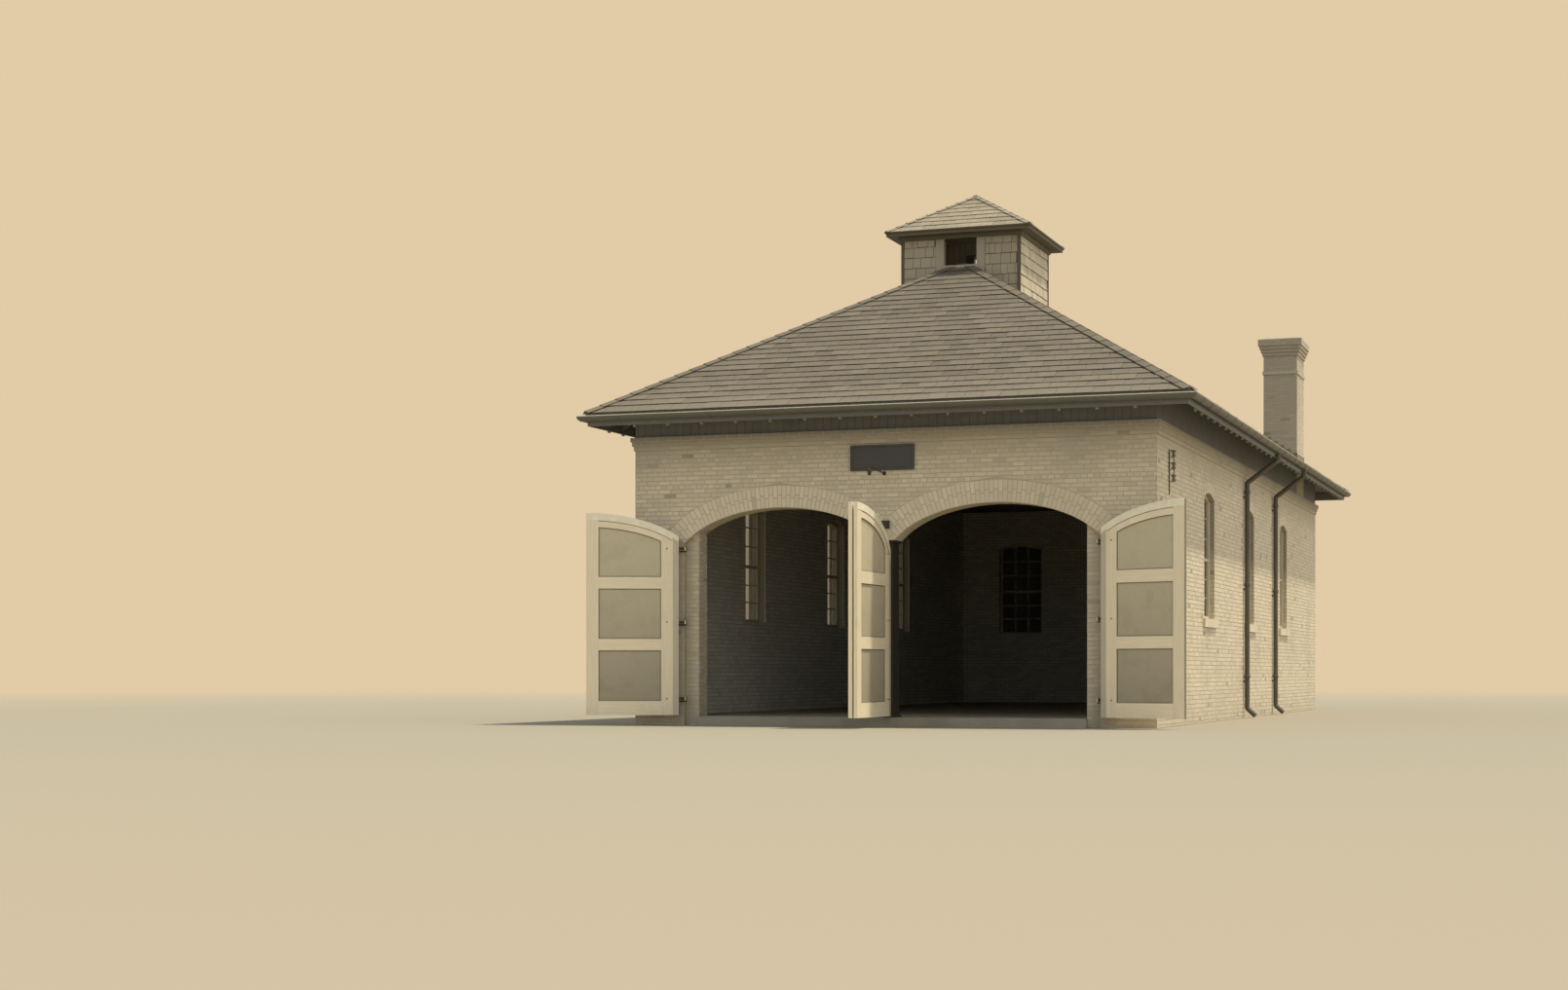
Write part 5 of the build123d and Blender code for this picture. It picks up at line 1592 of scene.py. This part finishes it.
class FIREHOUSE_OT_fittings(bpy.types.Operator):
    """Makes the pipe collars, lamp, sign trim, alarm box lid, insulators and post trim"""

    bl_idname = "firehouse.fittings"
    bl_label = "Fittings"

    def execute(self, context):
        use = chosen("fittings")
        self.pipes(use)
        self.lamp()
        self.rack()
        self.small_parts(use)
        return {"FINISHED"}

    def pipes(self, use):
        """Collars where the lengths of pipe join and where they reach the gutter."""
        rim = ((0.046, 0), (0.057, 0.004), (0.059, 0.012))
        collar = [*rim, *((radius, use.collar - up) for radius, up in reversed(rim))]
        outlet = [(0.047, 0), (0.06, 0.006), (0.062, 0.07), (0.05, 0.076)]
        parts = []
        for hand in (-1, 1):
            for y in PIPE_Y:
                for z in COLLAR_FEET:
                    parts.append(((hand * (HALF_WIDTH + PIPE_OUT), y, z), (0, 0, 1), collar))
                parts.append(((hand * (HALF_WIDTH + OUTLET_OUT), y, OUTLET_FOOT), (0, 0, 1), outlet))
        turned("pipe_collars", parts, "pipe", "pipe_paint")

    def lamp(self):
        """Swan-neck lamp under the sign."""
        base = Vector(LAMP)
        curve = bpy.data.curves.new("lamp_arm", "CURVE")
        curve.dimensions = "3D"
        curve.bevel_depth = 0.011
        curve.bevel_resolution = 3
        curve.resolution_u = 8
        curve.use_fill_caps = True
        spline = curve.splines.new("BEZIER")
        places = ((0, 0.0, 0.0), (0, -0.4, 0.022), (0, -0.78, 0.046), (0, -LAMP_REACH, 0.03))
        spline.bezier_points.add(len(places) - 1)
        for point, place in zip(spline.bezier_points, places):
            point.co = base + Vector(place)
            point.handle_left_type = point.handle_right_type = "AUTO"
        arm = bpy.data.objects.new("lamp_arm_line", curve)
        bpy.context.scene.collection.objects.link(arm)
        mesh = bpy.data.meshes.new_from_object(arm.evaluated_get(bpy.context.evaluated_depsgraph_get()))
        bpy.data.objects.remove(arm)
        mesh.materials.clear()
        mesh.materials.append(finish_for("iron"))
        finished("lamp_arm", mesh, "building", "lamp_iron")
        hood_foot = base + Vector((0, -LAMP_REACH, -0.098))
        hood = [(0.021, 0), (0.024, 0.006), (0.036, 0.07), (0.037, 0.086), (0.03, 0.1), (0.016, 0.108)]
        hood += [(0.014, 0.128), (0, 0.13)]
        rose = [(0.034, 0), (0.034, 0.005), (0.028, 0.01), (0.016, 0.014), (0.014, 0.03), (0, 0.034)]
        parts = [(hood_foot, (0, 0, 1), hood), (base, (0, -1, 0), rose)]
        turned("lamp_shade", parts, "iron", "lamp_iron", 28, replaced=("door_lamp",))
        bulb = [(0, 0), (0.011, 0.003), (0.017, 0.012), (0.018, 0.024)]
        parts = [(hood_foot + Vector((0, 0, -0.012)), (0, 0, 1), bulb)]
        turned("lamp_bulb", parts, "stone", "lamp_iron")

    def rack(self):
        """Iron bar with three spools held on an outer rod."""
        x, (foot, head) = HALF_WIDTH + RACK_OUT, RACK_HEIGHTS
        plane = face_plane((HALF_WIDTH, RACK_Y, 0), (0, 1, 0))
        blocks = [
            box_block(plane, -0.025, 0.025, foot, head, -0.004, 0.016),
            box_block(plane, -0.007, 0.007, foot, head, 0.008, 0.012),
        ]
        rod = [(0, 0), (0.008, 0.001), (0.008, 0.51), (0.012, 0.512), (0.012, 0.522), (0, 0.523)]
        ribs = [(0.0, -0.052), (0.03, -0.051), (0.038, -0.044), (0.038, -0.028), (0.024, -0.014)]
        ribs.append((0.022, 0.0))
        spool = ribs + [(radius, -length) for radius, length in reversed(ribs[:-1])]
        spools = []
        for z in SPOOL_HEIGHTS:
            for lift in (-0.062, 0.05):
                blocks.append(box_block(plane, -0.02, 0.02, z + lift, z + lift + 0.007, 0.012, 0.09))
            spools.append(((x, RACK_Y, z), (0, 0, 1), spool))
        turned("rack_arms", [((x, RACK_Y, foot + 0.2), (0, 0, 1), rod)], "iron", "rack_iron", 12)
        turned("insulators", spools, "porcelain", "rack_iron")
        lay("rack_bar", blocks, "iron", "rack_iron", uneven=0, replaced=("insulator_rack",))

    def small_parts(self, use):
        """Trim and screws of the sign, lid of the alarm box, and bands and bolts of the middle post."""
        front = WALLS["front"][0]
        low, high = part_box("sign_board")
        x0, x1, z0, z1 = low.x + 0.03, high.x - 0.03, low.z + 0.03, high.z - 0.03
        w = 0.014
        strips = [(x0, x1, z0, z0 + w), (x0, x1, z1 - w, z1)]
        strips += [(x, x + w, z0 + w, z1 - w) for x in (x0, x1 - w)]
        blocks = [box_block(front, *strip, 0.03, 0.008) for strip in strips]
        for x in (low.x + 0.008, high.x - 0.022):
            for z in (low.z + 0.008, high.z - 0.022):
                blocks.append(box_block(front, x, x + w, z, z + w, 0.04, 0.005))
        lay("sign_trim", blocks, "sign", "sign_paint", uneven=0)
        (x0, y, z0), (x1, y, z1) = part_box("alarm_box")
        lid = [
            box_block(front, x0 + 0.008, x1 - 0.008, z0 + 0.008, z1 - 0.008, 0.058, 0.01),
            box_block(front, x0 - 0.004, x0 + 0.01, z0 + 0.02, z0 + 0.04, 0.05, 0.022),
            box_block(front, x0 - 0.004, x0 + 0.01, z1 - 0.04, z1 - 0.02, 0.05, 0.022),
            box_block(front, x1 - 0.03, x1 - 0.018, z0 + 0.055, z0 + 0.08, 0.066, 0.012),
        ]
        lay("alarm_box_lid", lid, "iron", "box_iron", uneven=0)
        face = face_plane((0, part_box("middle_post")[0].y, 0), (1, 0, 0))
        bands = []
        for z in BAND_FEET:
            bands.append(box_block(face, -0.094, 0.094, z, z + 0.06, -0.004, 0.01))
            for x in (-0.07, 0.045):
                bands.append(box_block(face, x, x + use.bolt, z + 0.018, z + 0.04, 0.006, 0.006))
        lay("post_bands", bands, "iron", "painted_iron", uneven=0)


# Surfaces of the solids that stay in sight

SURFACES = {
    "concrete": ("floor_slab",),
    "mortar_x": ("front_wall", "rear_wall", "chimney", *(
        f"{part}_{side}" for part in ("front_pier", "door_jamb", "arch_ring") for side in ("left", "right")
    )),
    "mortar_y": ("left_wall", "right_wall"),
    "iron": ("middle_post", "hinge_pins", "alarm_box"),
    "sash": tuple(f"window_sashes_{side}" for side in WINDOWS),
    "glass": ("window_glass",),
    "stone": ("window_sills",),
    "boards": tuple(f"{part}_{side}" for part in ("roof", "frieze") for side in WALLS),
    "rafter": ("rafter_tails",),
    "lining": ("cupola_walls", "cupola_roof"),
    "shutter": ("cupola_frames",),
    "pipe": ("rain_pipes",),
    "sign": ("sign_board",),
    "door": tuple(f"{body}_frame" for body in LEAVES),
    "panel": tuple(f"{body}_panels" for body in LEAVES),
}


class FIREHOUSE_OT_surfaces(bpy.types.Operator):
    """Gives each solid that stays in sight its material"""

    bl_idname = "firehouse.surfaces"
    bl_label = "Surfaces"

    def execute(self, context):
        for finish, nodes in SURFACES.items():
            for name in nodes:
                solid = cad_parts[name]
                solid.data.materials.clear()
                solid.data.materials.append(finish_for(finish))
        return {"FINISHED"}


class FIREHOUSE_OT_stage(bpy.types.Operator):
    """Sets the floor, the light and the camera"""

    bl_idname = "firehouse.stage"
    bl_label = "Stage"

    def execute(self, context):
        use = chosen("stage")
        scene = context.scene
        scene.view_settings.view_transform = "Standard"
        self.floor(use)
        self.light(use)
        camera = bpy.data.cameras.new("camera")
        camera.lens = use.lens
        camera.sensor_width = 36
        camera.shift_y = CAMERA_SHIFT
        camera.clip_end = 1000
        holder = bpy.data.objects.new("camera", camera)
        holder.location = CAMERA_PLACE
        holder.rotation_euler = (math.radians(90), 0, CAMERA_TURN)
        scene.collection.objects.link(holder)
        scene.camera = holder
        return {"FINISHED"}

    def floor(self, use):
        """A wide pale floor that fades into the background far from the object."""
        mesh = bpy.data.meshes.new("floor")
        reach = (-FLOOR_REACH, FLOOR_REACH)
        mesh.from_pydata([(*place, 0) for place in rect(*reach, *reach)], [], [(0, 1, 2, 3)])
        made = bpy.data.materials.new("floor")
        made.use_nodes = True
        tree = Tree(made.node_tree)
        matt = tree.node("ShaderNodeBsdfDiffuse", sockets={"Color": tuple(use.floor)})
        glow = tree.node("ShaderNodeEmission", sockets={"Color": tuple(use.background)})
        distance = tree.vectors("LENGTH", {0: tree.place()}, "Value")
        far = tree.fade(distance, 24, 70) * tree.node("ShaderNodeLightPath", output="Is Camera Ray")
        mixed = tree.node("ShaderNodeMixShader", sockets={0: far, 1: matt, 2: glow})
        tree.node("ShaderNodeOutputMaterial", sockets={"Surface": mixed})
        mesh.materials.append(made)
        floor = bpy.data.objects.new("floor", mesh)
        bpy.context.scene.collection.objects.link(floor)
        floor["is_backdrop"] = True

    def light(self, use):
        """A soft lamp high on the right, a wide weak one low on the right, and light from all round."""
        for name, energy, angle, colour, direction in (
            ("key", use.sun, 3, (1.0, 0.94, 0.8), (0.316, 0.07, 0.94)),
            ("fill", 0.6, 70, (1.0, 0.98, 0.94), (0.9, -0.12, 0.4)),
        ):
            sun = bpy.data.lights.new(name, "SUN")
            sun.energy = energy
            sun.angle = math.radians(angle)
            sun.color = colour
            lamp = bpy.data.objects.new(name, sun)
            lamp.rotation_euler = Vector(direction).to_track_quat("Z", "Y").to_euler()
            bpy.context.scene.collection.objects.link(lamp)
        world = bpy.data.worlds.new("surroundings")
        world.use_nodes = True
        bpy.context.scene.world = world
        tree = Tree(world.node_tree)
        path = tree.node("ShaderNodeLightPath").socket.node
        rays = [Wire(tree, path.outputs[f"Is {ray} Ray"]) for ray in ("Camera", "Glossy", "Transmission")]
        shown = tree.limit(rays[0] + rays[1] + rays[2])
        soft = tree.node("ShaderNodeBackground", sockets={"Color": (0.92, 1.01, 1.13), "Strength": use.sky})
        pale = tree.node("ShaderNodeBackground", sockets={"Color": tuple(use.background), "Strength": 1.0})
        mixed = tree.node("ShaderNodeMixShader", sockets={0: shown, 1: soft, 2: pale})
        tree.node("ShaderNodeOutputWorld", sockets={"Surface": mixed})


STEPS = (
    FIREHOUSE_OT_surfaces, FIREHOUSE_OT_brickwork, FIREHOUSE_OT_arches, FIREHOUSE_OT_roofing,
    FIREHOUSE_OT_gutters, FIREHOUSE_OT_cupola, FIREHOUSE_OT_chimney, FIREHOUSE_OT_windows,
    FIREHOUSE_OT_doors, FIREHOUSE_OT_fittings, FIREHOUSE_OT_stage,
)


class FIREHOUSE_PT_panel(bpy.types.Panel):
    """Lists the settings and the steps that dress the fire house"""

    bl_idname = "FIREHOUSE_PT_panel"
    bl_label = "Fire House"
    bl_space_type = "VIEW_3D"
    bl_region_type = "UI"
    bl_category = "Fire House"

    def draw(self, context):
        for step in STEPS:
            self.layout.operator(step.bl_idname)
        for name, group in SETTINGS.items():
            box = self.layout.box()
            box.label(text=group.__doc__)
            for setting in group.__annotations__:
                box.prop(getattr(context.scene, name), setting)


CLASSES = (*SETTINGS.values(), *STEPS, FIREHOUSE_PT_panel)


def register():
    for each in CLASSES:
        bpy.utils.register_class(each)
    for name, group in SETTINGS.items():
        setattr(bpy.types.Scene, name, PointerProperty(type=group))


def unregister():
    for name in SETTINGS:
        delattr(bpy.types.Scene, name)
    for each in reversed(CLASSES):
        bpy.utils.unregister_class(each)


def main():
    register()
    for step in STEPS:
        getattr(bpy.ops.firehouse, step.bl_idname.split(".")[1])()
    boxes = {"cad": CAD_BOX, "visual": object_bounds()}
    {name: [list(corner) for corner in box] for name, box in boxes.items()}


if __name__ == "__main__":
    main()
